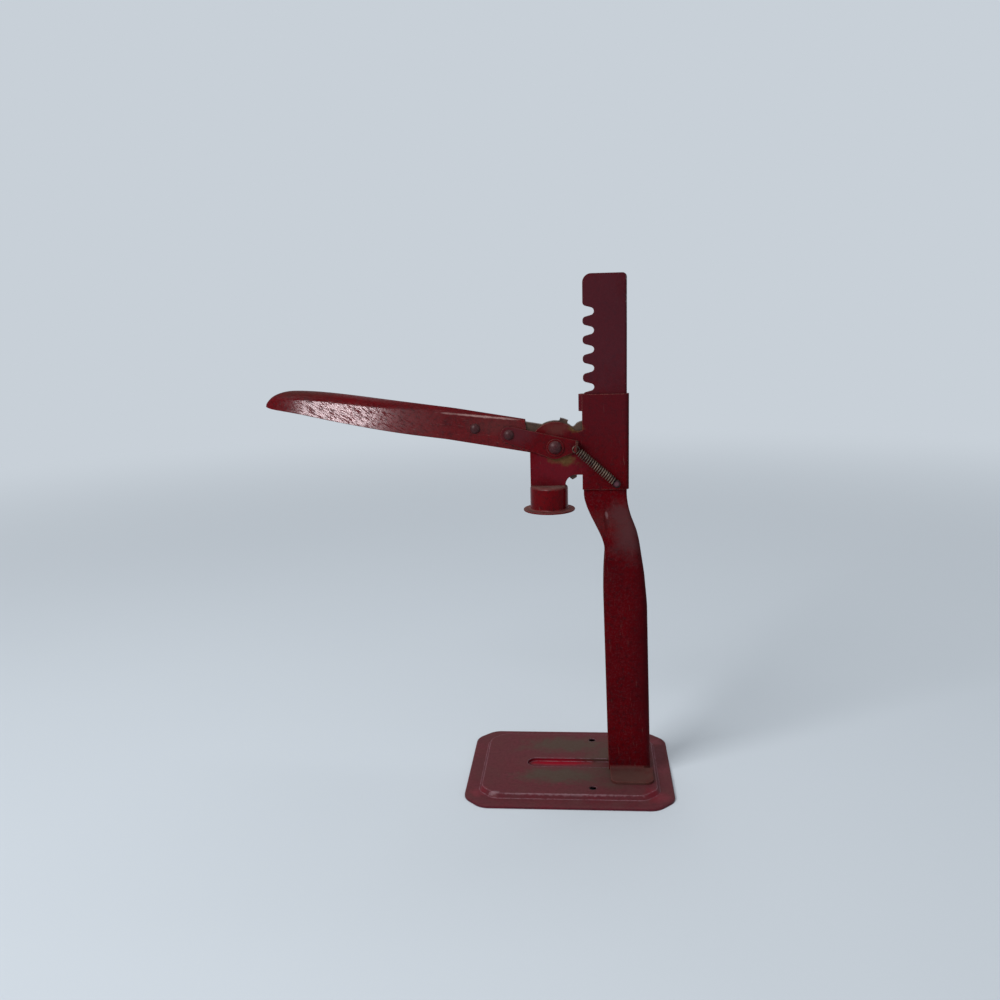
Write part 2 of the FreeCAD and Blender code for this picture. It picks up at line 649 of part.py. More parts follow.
def plate_outline():
    """A leaf of the head, from the bell's top to the sleeve, with a clinched tab below."""
    left = f"{PIVOT_X} - dome_radius"
    right = f"{PIVOT_X} + throat_right"
    overlap = f"{SLEEVE_FRONT} + 2 * head_sheet"
    arch_top = "(pivot_height - arch_drop)"
    shoulder = "(pivot_height + shoulder_rise)"
    reach = "(dome_radius + shoulder_round + shoulder_gap)"
    rise = "(shoulder_rise + shoulder_round)"
    return [
        (left, BELL_TOP),
        (f"{BELL_X} - clinch_half", BELL_TOP),
        (f"{BELL_X} - clinch_half", TAB_FOOT),
        (f"{BELL_X} + clinch_half", TAB_FOOT),
        (f"{BELL_X} + clinch_half", BELL_TOP),
        (right, BELL_TOP),
        (f"{right} + arch_radius", f"{arch_top} - arch_radius", "arch_radius", "inside"),
        (overlap, arch_top),
        (overlap, shoulder),
        (
            f"{PIVOT_X} + sqrt({reach} ^ 2 - {rise} ^ 2)",
            f"{shoulder} + shoulder_round",
            "shoulder_round",
            "inside",
        ),
        (PIVOT_X, "pivot_height", "dome_radius"),
    ]


def make_head():
    """The folded head: sleeve, two plates, front strap, pivot hole and stud hole."""
    body = new_body("head")
    fold = "(rack_round + slide_gap + head_sheet)"
    sleeve = folded_section(SLEEVE_FRONT, SLEEVE_BACK, PLATE_OUT, fold, "head_sheet")
    sleeve_sketch = new_sketch(body, "sleeve_section", "XY_Plane", SLEEVE_FOOT, [sleeve])
    extrude(body, "Pad", "sleeve", sleeve_sketch, f"{SLEEVE_TOP} - {SLEEVE_FOOT}")
    front = "(rack_front - strap_reach)"
    strap_round = f"({PLATE_OUT} - slide_gap)"
    centre = f"{front} + {strap_round}"
    inner = f"({strap_round} - head_sheet)"
    offset = f"({PLATE_OUT} - {strap_round})"
    joint = f"{SLEEVE_FRONT} + 2 * head_sheet"
    strap = [
        (joint, f"-{PLATE_OUT}"),
        (joint, f"-{PLATE_IN}"),
        (centre, f"-{offset}", inner, "inside"),
        (centre, offset, inner, "inside"),
        (joint, PLATE_IN),
        (joint, PLATE_OUT),
        (centre, offset, strap_round),
        (centre, f"-{offset}", strap_round),
    ]
    strap_sketch = new_sketch(body, "strap_section", "XY_Plane", f"{SLEEVE_TOP} - strap_height", [strap])
    extrude(body, "Pad", "front_strap", strap_sketch, "strap_height")
    plate_sketch = new_sketch(body, "plate_line", "XZ_Plane", PLATE_IN, [plate_outline()])
    plate = extrude(body, "Pad", "near_plate", plate_sketch, "head_sheet")
    mirror(body, "far_plate", [plate], "XZ_Plane")
    pivot_hole = [(PIVOT_X, "pivot_height", "pivot_pin + pin_gap")]
    hole_sketch = new_sketch(body, "pivot_hole_line", "XZ_Plane", "0", circles=pivot_hole)
    extrude(body, "Pocket", "pivot_hole", hole_sketch, f"3 * {PLATE_OUT}", "Symmetric")
    stud_hole = [(STUD_X, STUD_Z, "stud_radius + pin_gap")]
    stud_sketch = new_sketch(body, "stud_hole_line", "XZ_Plane", PLATE_IN, circles=stud_hole)
    extrude(body, "Pocket", "stud_hole", stud_sketch, "head_sheet", backwards=True)
    keep("head_housing", body)


def make_bell():
    """The drawn bell with its turned-out rim and two slots for the clinched tabs."""
    body = new_body("bell")
    throat = "(bell_radius - bell_sheet)"
    ceiling = f"({BELL_TOP} - bell_sheet)"
    inner_shoulder = "(bell_shoulder - bell_sheet)"
    outline = [
        ("0", ceiling),
        (f"{throat} - {inner_shoulder}", f"{ceiling} - {inner_shoulder}", inner_shoulder, "inside"),
        (f"{throat} + rim_sheet", f"{BELL_MOUTH} + rim_sheet", "rim_sheet"),
        ("rim_radius - rim_round", f"{BELL_MOUTH} + rim_round", "rim_round"),
        ("rim_radius - rim_round", f"{BELL_MOUTH} + rim_sheet - rim_round", "rim_round"),
        ("bell_radius + rim_bend", f"{BELL_MOUTH} + rim_sheet + rim_bend", "rim_bend", "inside"),
        ("bell_radius - bell_shoulder", f"{BELL_TOP} - bell_shoulder", "bell_shoulder"),
        ("0", BELL_TOP),
    ]
    sketch = new_sketch(body, "bell_profile", "XZ_Plane", "0", [outline])
    revolve(body, "bell_wall", sketch, "Z_Axis")
    slots = []
    for side in ("-", ""):
        near, far = f"{side}{PLATE_IN}", f"{side}{PLATE_OUT}"
        low, high = (far, near) if side else (near, far)
        slots.append(
            [
                ("-clinch_half - pin_gap", f"{low} - pin_gap"),
                ("clinch_half + pin_gap", f"{low} - pin_gap"),
                ("clinch_half + pin_gap", f"{high} + pin_gap"),
                ("-clinch_half - pin_gap", f"{high} + pin_gap"),
            ]
        )
    slot_sketch = new_sketch(body, "clinch_slots_line", "XY_Plane", ceiling, slots)
    extrude(body, "Pocket", "clinch_slots", slot_sketch, "bell_sheet + 1", backwards=True)
    body.setExpression("Placement.Base.x", bind(BELL_X))
    keep("crimping_bell", body)


def make_plug():
    """The steel plug in the bell that the cap's top is pressed against."""
    body = new_body("plug")
    foot = f"{BELL_MOUTH} + throat_depth"
    head = f"{TAB_FOOT} - slide_gap"
    disc = [("0", "0", "bell_radius - bell_sheet - pin_gap")]
    disc_sketch = new_sketch(body, "plug_line", "XY_Plane", foot, circles=disc)
    extrude(body, "Pad", "plug_disc", disc_sketch, f"({head}) - ({foot})")
    recess = [("0", "0", "recess_radius")]
    recess_sketch = new_sketch(body, "plug_recess_line", "XY_Plane", foot, circles=recess)
    extrude(body, "Pocket", "plug_recess", recess_sketch, "plug_recess", backwards=True)
    body.setExpression("Placement.Base.x", bind(BELL_X))
    keep("cap_plug", body)


# Lever: gear plate, pressed handle and two arms, riveted together; drawn level, pivot at the origin


def flank_points(steps):
    """Points of one involute flank, from the base circle to the tip, above the tooth's middle line."""
    pitch_radius = value(PITCH_RADIUS)
    slope = math.radians(value("flank_angle"))
    base_radius = pitch_radius * math.cos(slope)
    thickness = value("tooth_pitch") / 2 - value("backlash") / 2
    half_at_base = thickness / (2 * pitch_radius) + math.tan(slope) - slope
    tip = value(GEAR_TIP)
    points = []
    for step in range(steps + 1):
        radius = base_radius + (tip - base_radius) * step / steps
        pressure = math.acos(min(1.0, base_radius / radius))
        angle = half_at_base - (math.tan(pressure) - pressure)
        points.append(Vector(radius * math.cos(angle), 0, radius * math.sin(angle)))
    return points, half_at_base


def gear_tooth(tip_radius, half):
    """One tooth about the X axis, from inside the root circle to its tip."""
    upper, half_at_base = flank_points(5)
    lower = [Vector(point.x, 0, -point.z) for point in upper]
    root = value(f"{GEAR_ROOT} - gear_fillet")
    inner = Vector(root * math.cos(half_at_base), 0, root * math.sin(half_at_base))
    inner_low = Vector(inner.x, 0, -inner.z)
    flank_up, flank_down = Part.BSplineCurve(), Part.BSplineCurve()
    flank_up.interpolate(upper)
    flank_down.interpolate(lower)
    edges = [
        Part.LineSegment(inner_low, lower[0]).toShape(),
        flank_down.toShape(),
        Part.Arc(lower[-1], Vector(value(GEAR_TIP), 0, 0), upper[-1]).toShape(),
        flank_up.toShape(),
        Part.LineSegment(upper[0], inner).toShape(),
        Part.LineSegment(inner, inner_low).toShape(),
    ]
    wire = Part.Wire(Part.__sortEdges__(edges))
    tooth = Part.Face(wire).extrude(Vector(0, 2 * half, 0))
    tooth.translate(Vector(0, -half, 0))
    if tip_radius < value(GEAR_TIP):
        limit = Part.makeCylinder(tip_radius, 2 * half, Vector(0, -half, 0), Vector(0, 1, 0))
        tooth = tooth.common(limit)
    return tooth


def along_y(shape):
    """Edges of a shape that run along Y."""
    found = []
    for edge in shape.Edges:
        low, high = edge.Vertexes[0].Point, edge.Vertexes[-1].Point
        if abs(abs(low.y - high.y) - edge.Length) < 0.001:
            found.append(edge)
    return found


def make_gear():
    """The gear plate: four full teeth, a shortened one and the shank that goes into the handle."""
    half = value(LEAF)
    pitch_radius = value(PITCH_RADIUS)
    pivot_height = value("pivot_height")
    pitch = value("tooth_pitch")
    top_notch = value(TOP_NOTCH)
    nearest = top_notch - pitch * round((top_notch - pivot_height) / pitch)
    mesh_angle = (nearest - pivot_height) / pitch_radius + math.radians(value("lever_angle"))
    step = pitch / pitch_radius
    root = value(GEAR_ROOT)
    plate = Part.makeCylinder(root, 2 * half, Vector(0, -half, 0), Vector(0, 1, 0))
    for count in range(-2, 3):
        tip = value(f"{GEAR_ROOT} + stub_height") if count == 2 else value(GEAR_TIP)
        tooth = gear_tooth(tip, half)
        tooth.rotate(Vector(0, 0, 0), Vector(0, 1, 0), -math.degrees(mesh_angle + count * step))
        plate = plate.fuse(tooth)
    plate = plate.removeSplitter()
    low, high = root - 0.05, root + 0.05
    corners = []
    for edge in along_y(plate):
        point = edge.Vertexes[0].Point
        if low < math.hypot(point.x, point.z) < high:
            corners.append(edge)
    plate = plate.makeFillet(value("gear_fillet"), corners)
    shank_height = value("shank_top + shank_foot")
    shank = Part.makeBox(value("shank_end"), 2 * half, shank_height)
    shank.translate(Vector(-value("shank_end"), -half, -value("shank_foot")))
    shank_corners = [e for e in along_y(shank) if e.Vertexes[0].Point.x < -1]
    shank = shank.makeFillet(value("shank_foot"), shank_corners)
    plate = plate.fuse(shank).removeSplitter()
    for x, z, radius in (
        (0, 0, value("pivot_pin + pin_gap")),
        (-value("front_rivet_place"), value("front_rivet_rise"), value("rivet_pin + pin_gap")),
        (-value("rear_rivet_place"), value("rear_rivet_rise"), value("rivet_pin + pin_gap")),
    ):
        plate = plate.cut(Part.makeCylinder(radius, 4 * half, Vector(x, -2 * half, z), Vector(0, 1, 0)))
    gear = doc.addObject("Part::Feature", "gear")
    gear.Shape = plate
    place_on_lever(gear)
    keep("gear_plate", gear)


RIVET_HOLES = [
    ("-front_rivet_place", "front_rivet_rise", "rivet_pin + pin_gap"),
    ("-rear_rivet_place", "rear_rivet_rise", "rivet_pin + pin_gap"),
]


def grip_section(top, foot, half, rounding):
    """The handle across its length: two walls and a top with rounded shoulders."""
    return [
        (half, f"-({foot})"),
        (f"{half} - {rounding}", f"{top} - {rounding}", rounding),
        (f"{rounding} - {half}", f"{top} - {rounding}", rounding),
        (f"-({half})", f"-({foot})"),
    ]


def make_handle():
    """The pressed handle: a channel open below that widens from the rivets to a closed tip."""
    body = new_body("handle")
    top = f"(shank_top + {HANDLE_WALL})"
    foot = "(shank_foot + wall_foot)"
    half = ARM_IN
    rounding = f"({HANDLE_WALL} + handle_bend)"
    neck_start = f"-(dome_radius - {HANDLE_WALL})"
    neck_end = f"-(shank_end + 2 * {HANDLE_WALL})"
    below = f"({foot} + {HANDLE_WALL})"
    outer_neck = grip_section(top, foot, half, rounding)
    inner_neck = grip_section("(shank_top + slide_gap)", below, LEAF, "(0.7 * slide_gap)")
    outer = [new_sketch(body, "neck_start_outside", "YZ_Plane", neck_start, [outer_neck])]
    outer.append(new_sketch(body, "neck_end_outside", "YZ_Plane", neck_end, [outer_neck]))
    loft(body, "AdditiveLoft", "handle_neck", outer, ruled=True)
    outer = [new_sketch(body, "grip_start_outside", "YZ_Plane", neck_end, [outer_neck])]
    inner = [new_sketch(body, "grip_start_inside", "YZ_Plane", neck_end, [inner_neck])]
    for number in range(len(GRIP)):
        name = f"grip_{number}_"
        place = f"-(shank_end + {name}place)"
        crown = f"({top} + {name}top)"
        width = f"({half} + {name}half)"
        shoulder = f"({rounding} + {name}round)"
        section = grip_section(crown, f"{foot} + {name}foot", width, shoulder)
        outer.append(new_sketch(body, name + "outside", "YZ_Plane", place, [section]))
        if number < len(GRIP) - 1:
            hollow = grip_section(
                f"({crown} - {HANDLE_WALL})",
                f"{below} + {name}foot",
                f"({width} - {HANDLE_WALL})",
                f"({shoulder} - {HANDLE_WALL} + 2 * handle_bend)",
            )
            inner.append(new_sketch(body, name + "inside", "YZ_Plane", place, [hollow]))
    loft(body, "AdditiveLoft", "grip", outer)
    loft(body, "SubtractiveLoft", "grip_hollow", inner)
    neck_inner = [
        new_sketch(body, "neck_start_inside", "YZ_Plane", f"{neck_start} + handle_bend", [inner_neck]),
        new_sketch(body, "neck_end_inside", "YZ_Plane", neck_end, [inner_neck]),
    ]
    loft(body, "SubtractiveLoft", "neck_hollow", neck_inner, ruled=True)
    corner = f"({foot} * tan(lever_angle) - (dome_radius + grip_end_gap) / cos(lever_angle))"
    lean = f"0.1 * (top_wall_end + {corner})"
    rise = f"0.1 * ({top} + {foot})"
    slant = [
        (f"{corner} + {lean}", f"-{foot} - {rise}"),
        (f"{neck_start} + {HANDLE_WALL}", f"-{foot} - {rise}"),
        (f"{neck_start} + {HANDLE_WALL}", f"{top} + {rise}"),
        (f"-top_wall_end - {lean}", f"{top} + {rise}"),
    ]
    slant_sketch = new_sketch(body, "end_cut_line", "XZ_Plane", "0", [slant])
    extrude(body, "Pocket", "end_cut", slant_sketch, f"4 * {half}", "Symmetric")
    hole_sketch = new_sketch(body, "handle_holes_line", "XZ_Plane", "0", circles=RIVET_HOLES)
    extrude(body, "Pocket", "handle_holes", hole_sketch, f"4 * {half}", "Symmetric")
    place_on_lever(body)
    keep("handle", body)


def arm_outline():
    """An arm: round about the front rivet, a lobe about the pivot, a tail behind."""
    return [
        ("0", "0", "arm_lobe_radius"),
        ("tail_reach", "-tail_foot"),
        ("tail_reach", "tail_top"),
        ("-front_rivet_place", "front_rivet_rise", "arm_end_radius"),
    ]


def make_arm(label, side):
    """One outer arm, the near one with an ear for the spring."""
    body = new_body(label + "_body")
    circles = [("0", "0", "pivot_pin + pin_gap"), RIVET_HOLES[0]]
    near = side == "near"
    shift = ARM_IN if near else f"-{ARM_OUT}"
    sketch = new_sketch(body, label + "_line", "XZ_Plane", shift, [arm_outline()], circles)
    extrude(body, "Pad", label + "_plate", sketch, "arm_sheet")
    if near:
        inside = "tail_reach - arm_sheet"
        ear = [
            (inside, f"-{SPRING_Y} - ear_margin"),
            ("tail_reach", f"-{SPRING_Y} - ear_margin"),
            ("tail_reach", f"-{ARM_IN} - arm_sheet / 2"),
            (inside, f"-{ARM_IN} - arm_sheet / 2"),
        ]
        ear_sketch = new_sketch(body, label + "_ear_line", "XY_Plane", "-tail_foot", [ear])
        extrude(body, "Pad", label + "_ear", ear_sketch, "tail_top + tail_foot")
        hole = [(f"-{SPRING_Y}", "ear_hole_rise", "ear_hole")]
        hole_sketch = new_sketch(body, label + "_ear_hole_line", "YZ_Plane", inside, circles=hole)
        extrude(body, "Pocket", label + "_ear_hole", hole_sketch, "3 * arm_sheet", "Symmetric")
    place_on_lever(body)
    keep(label, body)


def primitive(kind, name, sizes, place, turn):
    """A Part primitive with sizes, place and a turn about X."""
    shape = doc.addObject("Part::" + kind, name)
    for property_name, words in sizes.items():
        shape.setExpression(property_name, bind(words))
    shape.Placement = FreeCAD.Placement(Vector(0, 0, 0), FreeCAD.Rotation(Vector(1, 0, 0), turn))
    for axis, words in zip("xyz", place):
        shape.setExpression(f"Placement.Base.{axis}", bind(words))
    return shape


def make_rivet(label, x, z, pin, head, dome, reach):
    """A rivet across the lever: a pin with a domed head on each side."""
    ball = f"(({head} * {head} + {dome} * {dome}) / (2 * {dome}))"
    sunk = f"({ball} - {dome})"
    pin_size = {"Radius": pin, "Height": f"2 * {reach}"}
    parts = [primitive("Cylinder", label + "_pin", pin_size, (x, reach, z), 90)]
    for side, turn in (("near", 90), ("far", -90)):
        sign = "-1" if side == "near" else "1"
        cap = {"Radius": ball, "Angle1": f"asin({sunk} / {ball})"}
        place = (x, f"{sign} * ({reach} - {sunk})", z)
        parts.append(primitive("Sphere", f"{label}_{side}_head", cap, place, turn))
    rivet = doc.addObject("Part::MultiFuse", label + "_whole")
    rivet.Shapes = parts
    doc.recompute()
    place_on_lever(rivet)
    keep(label, rivet)


def make_washer(label, side):
    """A washer under a head of the pivot rivet."""
    body = new_body(label + "_body")
    circles = [("0", "0", "washer_radius"), ("0", "0", "pivot_pin + pin_gap")]
    shift = ARM_OUT if side == "near" else f"-{ARM_OUT} - washer_sheet"
    sketch = new_sketch(body, label + "_line", "XZ_Plane", shift, circles=circles)
    extrude(body, "Pad", label + "_ring", sketch, "washer_sheet")
    place_on_lever(body)
    keep(label, body)


# Spring: an open coil with a loop at each end, from the arm's ear to a stud on the sleeve


def make_stud():
    """The stud on the near side of the sleeve."""
    body = new_body("stud")
    collar_end = f"({SPRING_Y} - wire)"
    cap_start = f"({SPRING_Y} + wire)"
    profile = [
        ("0", f"-{cap_start} - stud_cap"),
        ("stud_head - stud_cap * 0.7", f"-{cap_start} - stud_cap * 0.3", "stud_cap * 0.7"),
        ("stud_head", f"-{cap_start}"),
        ("stud_radius", f"-{cap_start}"),
        ("stud_radius", f"-{collar_end}"),
        ("stud_collar", f"-{collar_end}"),
        ("stud_collar", f"-{PLATE_OUT}"),
        ("stud_radius", f"-{PLATE_OUT}"),
        ("stud_radius", f"-{PLATE_IN}"),
        ("0", f"-{PLATE_IN}"),
    ]
    sketch = new_sketch(body, "stud_profile", "XY_Plane", "0", [profile])
    revolve(body, "stud_turned", sketch, "Y_Axis")
    body.setExpression("Placement.Base.x", bind(STUD_X))
    body.setExpression("Placement.Base.z", bind(STUD_Z))
    keep("spring_stud", body)


def spring_path(loop, coil, span):
    """Points along the spring's wire: upper loop, coil, lower loop. The spring lies along Z."""
    turns = sheet.get("coil_turns")
    steps = turns * sheet.get("coil_steps")
    lead = value("wire") / 4
    first, last = loop + lead, span - loop - lead
    arcs = [math.radians(30 * step) for step in range(11)]
    path = [Vector(-loop * math.sin(arc), 0, loop * math.cos(arc)) for arc in reversed(arcs)]
    path.append(Vector(0.7 * coil, 0, first - lead / 2))
    for step in range(1, steps):
        turn = 2 * math.pi * turns * step / steps
        height = first + (last - first) * step / steps
        path.append(Vector(coil * math.cos(turn), coil * math.sin(turn), height))
    path.append(Vector(0.7 * coil, 0, last + lead / 2))
    path += [Vector(-loop * math.sin(arc), 0, span - loop * math.cos(arc)) for arc in arcs]
    return path


def wire_section(centre, along, radius):
    """A closed outline across the wire, eight-sided so that the coil stays light."""
    turn = FreeCAD.Rotation(Vector(0, 0, 1), along)
    corners = []
    for number in range(9):
        angle = math.pi * (2 * number + 1) / 8
        corners.append(centre + turn.multVec(Vector(radius * math.cos(angle), radius * math.sin(angle), 0)))
    return Part.makePolygon(corners)


def make_spring():
    """The spring, one wire from the loop in the near arm's ear to the loop round the stud."""
    loop = value(LOOP_RADIUS)
    lean = math.radians(value("lever_angle"))
    ear_x = value("tail_reach - arm_sheet / 2")
    ear_z = value("ear_hole_rise") - loop
    top = Vector(
        value(PIVOT_X) + ear_x * math.cos(lean) + ear_z * math.sin(lean),
        -value(SPRING_Y),
        value("pivot_height") - ear_x * math.sin(lean) + ear_z * math.cos(lean),
    )
    line = Vector(value(STUD_X), -value(SPRING_Y), value(STUD_Z)) - top
    bearing = value(f"{LOOP_RADIUS} - wire / 2 - stud_radius - pin_gap")
    path = spring_path(loop, value("coil_radius"), line.Length - bearing)
    section = wire_section(path[0], path[1] - path[0], value("wire") / 2)
    spring = doc.addObject("Part::Feature", "spring")
    spring.Shape = Part.makePolygon(path).makePipeShell([section], True, False, 1)
    spring.Placement = FreeCAD.Placement(top, FreeCAD.Rotation(Vector(0, 0, 1), line))
    keep("return_spring", spring)


def check_and_write():
    """Stop on any failed object or bad shape, then write each piece."""
    doc.recompute()
    for item in doc.Objects:
        if "Invalid" in item.State or "Error" in item.State:
            raise RuntimeError(f"{item.Name} failed: {item.State}")
    for label, piece in PIECES.items():
        shape = piece.Shape
        if shape.isNull() or not shape.isValid():
            raise RuntimeError(f"{label} has no valid shape")
        if len(shape.Solids) != 1:
            raise RuntimeError(f"{label} has {len(shape.Solids)} solids")
    os.makedirs("parts", exist_ok=True)
    for label, piece in PIECES.items():
        piece.Shape.exportStep(f"parts/{label}.step")
        box = piece.Shape.BoundBox
        low = f"({box.XMin:.1f}, {box.YMin:.1f}, {box.ZMin:.1f})"
        high = f"({box.XMax:.1f}, {box.YMax:.1f}, {box.ZMax:.1f})"
        print(f"{label}: {piece.Shape.Volume:.0f} mm3, {low} to {high}")


make_base()
make_post()
make_head()
make_bell()
make_plug()
make_gear()
make_handle()
make_arm("near_arm", "near")
make_arm("far_arm", "far")
pivot_reach = f"({ARM_OUT} + washer_sheet)"
front_z = "front_rivet_rise"
make_rivet("pivot_rivet", "0", "0", "pivot_pin", "pivot_head", "pivot_dome", pivot_reach)
make_rivet("front_rivet", "-front_rivet_place", front_z, "rivet_pin", "rivet_head", "rivet_dome", ARM_OUT)
rear_z = "rear_rivet_rise"
make_rivet("rear_rivet", "-rear_rivet_place", rear_z, "rivet_pin", "rivet_head", "rivet_dome", ARM_IN)
make_washer("near_washer", "near")
make_washer("far_washer", "far")
make_stud()
make_spring()
check_and_write()
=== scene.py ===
"""A worn red bottle capper on a pale floor. Lengths are in metres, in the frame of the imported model."""

import json
import math

import bpy
from mathutils import Matrix, Vector


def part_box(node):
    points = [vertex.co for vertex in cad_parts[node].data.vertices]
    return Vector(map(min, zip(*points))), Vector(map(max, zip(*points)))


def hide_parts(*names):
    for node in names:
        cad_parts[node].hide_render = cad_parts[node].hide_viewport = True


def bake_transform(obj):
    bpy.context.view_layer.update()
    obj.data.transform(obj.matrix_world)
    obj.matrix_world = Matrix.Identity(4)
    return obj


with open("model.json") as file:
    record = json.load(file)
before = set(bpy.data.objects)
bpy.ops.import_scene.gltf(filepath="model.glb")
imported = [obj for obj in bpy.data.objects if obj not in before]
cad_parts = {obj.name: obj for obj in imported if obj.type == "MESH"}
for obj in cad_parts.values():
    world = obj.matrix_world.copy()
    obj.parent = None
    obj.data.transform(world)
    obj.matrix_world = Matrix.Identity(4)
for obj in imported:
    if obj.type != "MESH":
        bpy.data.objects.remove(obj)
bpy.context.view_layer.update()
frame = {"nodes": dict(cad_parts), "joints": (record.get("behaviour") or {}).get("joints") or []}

MM = 0.001
SURROUND = "#C8D0D8"

# The camera, as it stood for the photograph

CAMERA_PLACE = Vector((15.956, -834.331, 429.637)) * MM
CAMERA_YAW = 0.0890
CAMERA_PITCH = 0.2051
CAMERA_ROLL = 0.0263
CAMERA_LENS = 35.02
SENSOR_WIDTH = 36

# Sizes of the pieces that are modelled here

WIRE = 1.1 * MM
COIL_RADIUS = 3.4 * MM
LOOP_RADIUS = 2.9 * MM
COIL_TURNS = 18
EAR_REACH = 17.8 * MM
EAR_LOOP_RISE = 1.5 * MM
LEVER_ANGLE = math.radians(9.8)
STUD_BEARING = 0.4 * MM

# Sizes of the finishes' patterns, in millimetres

FADED_PATCH = 34
DUST_CLOUD = 17
CHIP = 5
GRIME_BLOT = 3.4
STEEL_CLOUD = 1.8
MOTTLE_GRAIN = 1.1
SCRATCH_WIDTH, SCRATCH_LENGTH = 1.3, 16
SCUFF_WIDTH, SCUFF_LENGTH, SCUFF_TURN = 0.9, 5, 36
FLOOR_CLOUD = 600

# The floor, in metres: its side, and how far from the tool it starts and ends to take on the surround's tone

FLOOR_SIDE = 60
FADE_START, FADE_END = 0.35, 2.4

# How strongly the surround lights the tool, against 1 for how it looks itself

SURROUND_LIGHT = 0.42


# Small helpers


def linear(hex_colour):
    """A colour written as sRGB hex, as the linear colour that Blender takes."""
    channels = [int(hex_colour[place:place + 2], 16) / 255 for place in (1, 3, 5)]
    return [c / 12.92 if c <= 0.04045 else ((c + 0.055) / 1.055) ** 2.4 for c in channels] + [1.0]


def scale_for(millimetres):
    """The texture scale whose pattern repeats about every so many millimetres."""
    return 1000 / millimetres


def select_only(*objects):
    """Select these objects and nothing else, the first one active."""
    bpy.ops.object.select_all(action="DESELECT")
    for thing in objects:
        thing.select_set(True)
    bpy.context.view_layer.objects.active = objects[0]


def node_object(name):
    """The Blender object of a CAD node."""
    return frame["nodes"][name]


def joint(name):
    """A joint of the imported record."""
    return next(entry for entry in frame["joints"] if entry["name"] == name)


def middle(name):
    """The middle of a CAD node's box."""
    low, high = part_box(name)
    return (Vector(low) + Vector(high)) / 2


# Materials


def new_material(name):
    """An empty material and its node tree."""
    material = bpy.data.materials.new(name)
    material.use_nodes = True
    material.node_tree.nodes.clear()
    return material, material.node_tree


def add(tree, kind, settings=None, links=None):
    """Add a node, set its properties and socket values, and link sources to its sockets."""
    node = tree.nodes.new("ShaderNode" + kind)
    for name, setting in (settings or {}).items():
        if isinstance(name, int) or name in node.inputs:
            node.inputs[name].default_value = setting
        else:
            setattr(node, name, setting)
    for name, source in (links or {}).items():
        tree.links.new(source, node.inputs[name])
    return node


def soft_patch(tree, place, centre, reach, strength=1.0, ragged=0.7, turn=0.0):
    """A mask of this strength round a spot on the piece, which fades to 0 at its reach in a ragged border.

    Centre and reach are in millimetres along X, Y and Z, and turn is the patch's turn about Y, in degrees.
    """
    fitted = add(
        tree,
        "Mapping",
        {
            "vector_type": "TEXTURE",
            "Location": [value * MM for value in centre],
            "Rotation": (0.0, math.radians(turn), 0.0),
            "Scale": [value * MM for value in reach],
        },
        {"Vector": place},
    )
    distance = add(tree, "VectorMath", {"operation": "LENGTH"}, {0: fitted.outputs["Vector"]})
    border = add(
        tree,
        "TexNoise",
        {"Scale": scale_for(max(sorted(reach)[1] / 2, 3)), "Detail": 8, "Roughness": 0.72},
        {"Vector": place},
    )
    wavy = add(
        tree,
        "Math",
        {"operation": "MULTIPLY_ADD", 1: 2 * ragged},
        {0: border.outputs["Fac"], 2: distance.outputs["Value"]},
    )
    mask = add(
        tree,
        "MapRange",
        {"From Min": 1.0 + ragged, "From Max": 0.4 + ragged, "To Max": strength},
        {"Value": wavy.outputs["Value"]},
    )
    return mask.outputs["Result"]


def seen_directly(tree):
    """1 for what the camera or a reflection sees, and 0 for what lights the tool."""
    rays = add(tree, "LightPath")
    seen = add(
        tree,
        "Math",
        {"operation": "MAXIMUM"},
        {0: rays.outputs["Is Camera Ray"], 1: rays.outputs["Is Glossy Ray"]},
    )
    return seen.outputs["Value"]


def rounded_edges(tree, radius):
    """Normals rounded at the edges, and how flat each point is: 1 on a plain face, less at an edge."""
    normal = add(tree, "NewGeometry").outputs["Normal"]
    rounded = add(tree, "Bevel", {"samples": 6, "Radius": radius * MM}).outputs["Normal"]
    flatness = add(tree, "VectorMath", {"operation": "DOT_PRODUCT"}, {0: rounded, 1: normal})
    return rounded, flatness.outputs["Value"]


def strongest(tree, masks):
    """The strongest of several masks at each point."""
    top = masks[0]
    for mask in masks[1:]:
        top = add(tree, "Math", {"operation": "MAXIMUM"}, {0: top, 1: mask}).outputs["Value"]
    return top


def streak_noise(tree, place, width, length, turn, detail):
    """Noise drawn out into streaks of this width and length in millimetres.

    They lie along X, turned about Y by so many degrees.
    """
    drawn = add(
        tree,
        "Mapping",
        {
            "vector_type": "TEXTURE",
            "Rotation": (0.0, math.radians(turn), 0.0),
            "Scale": (length / width, 1.0, 1.0),
        },
        {"Vector": place},
    )
    noise = add(
        tree,
        "TexNoise",
        {"Scale": scale_for(width), "Detail": detail, "Roughness": 0.55},
        {"Vector": drawn.outputs["Vector"]},
    )
    return noise.outputs["Fac"]


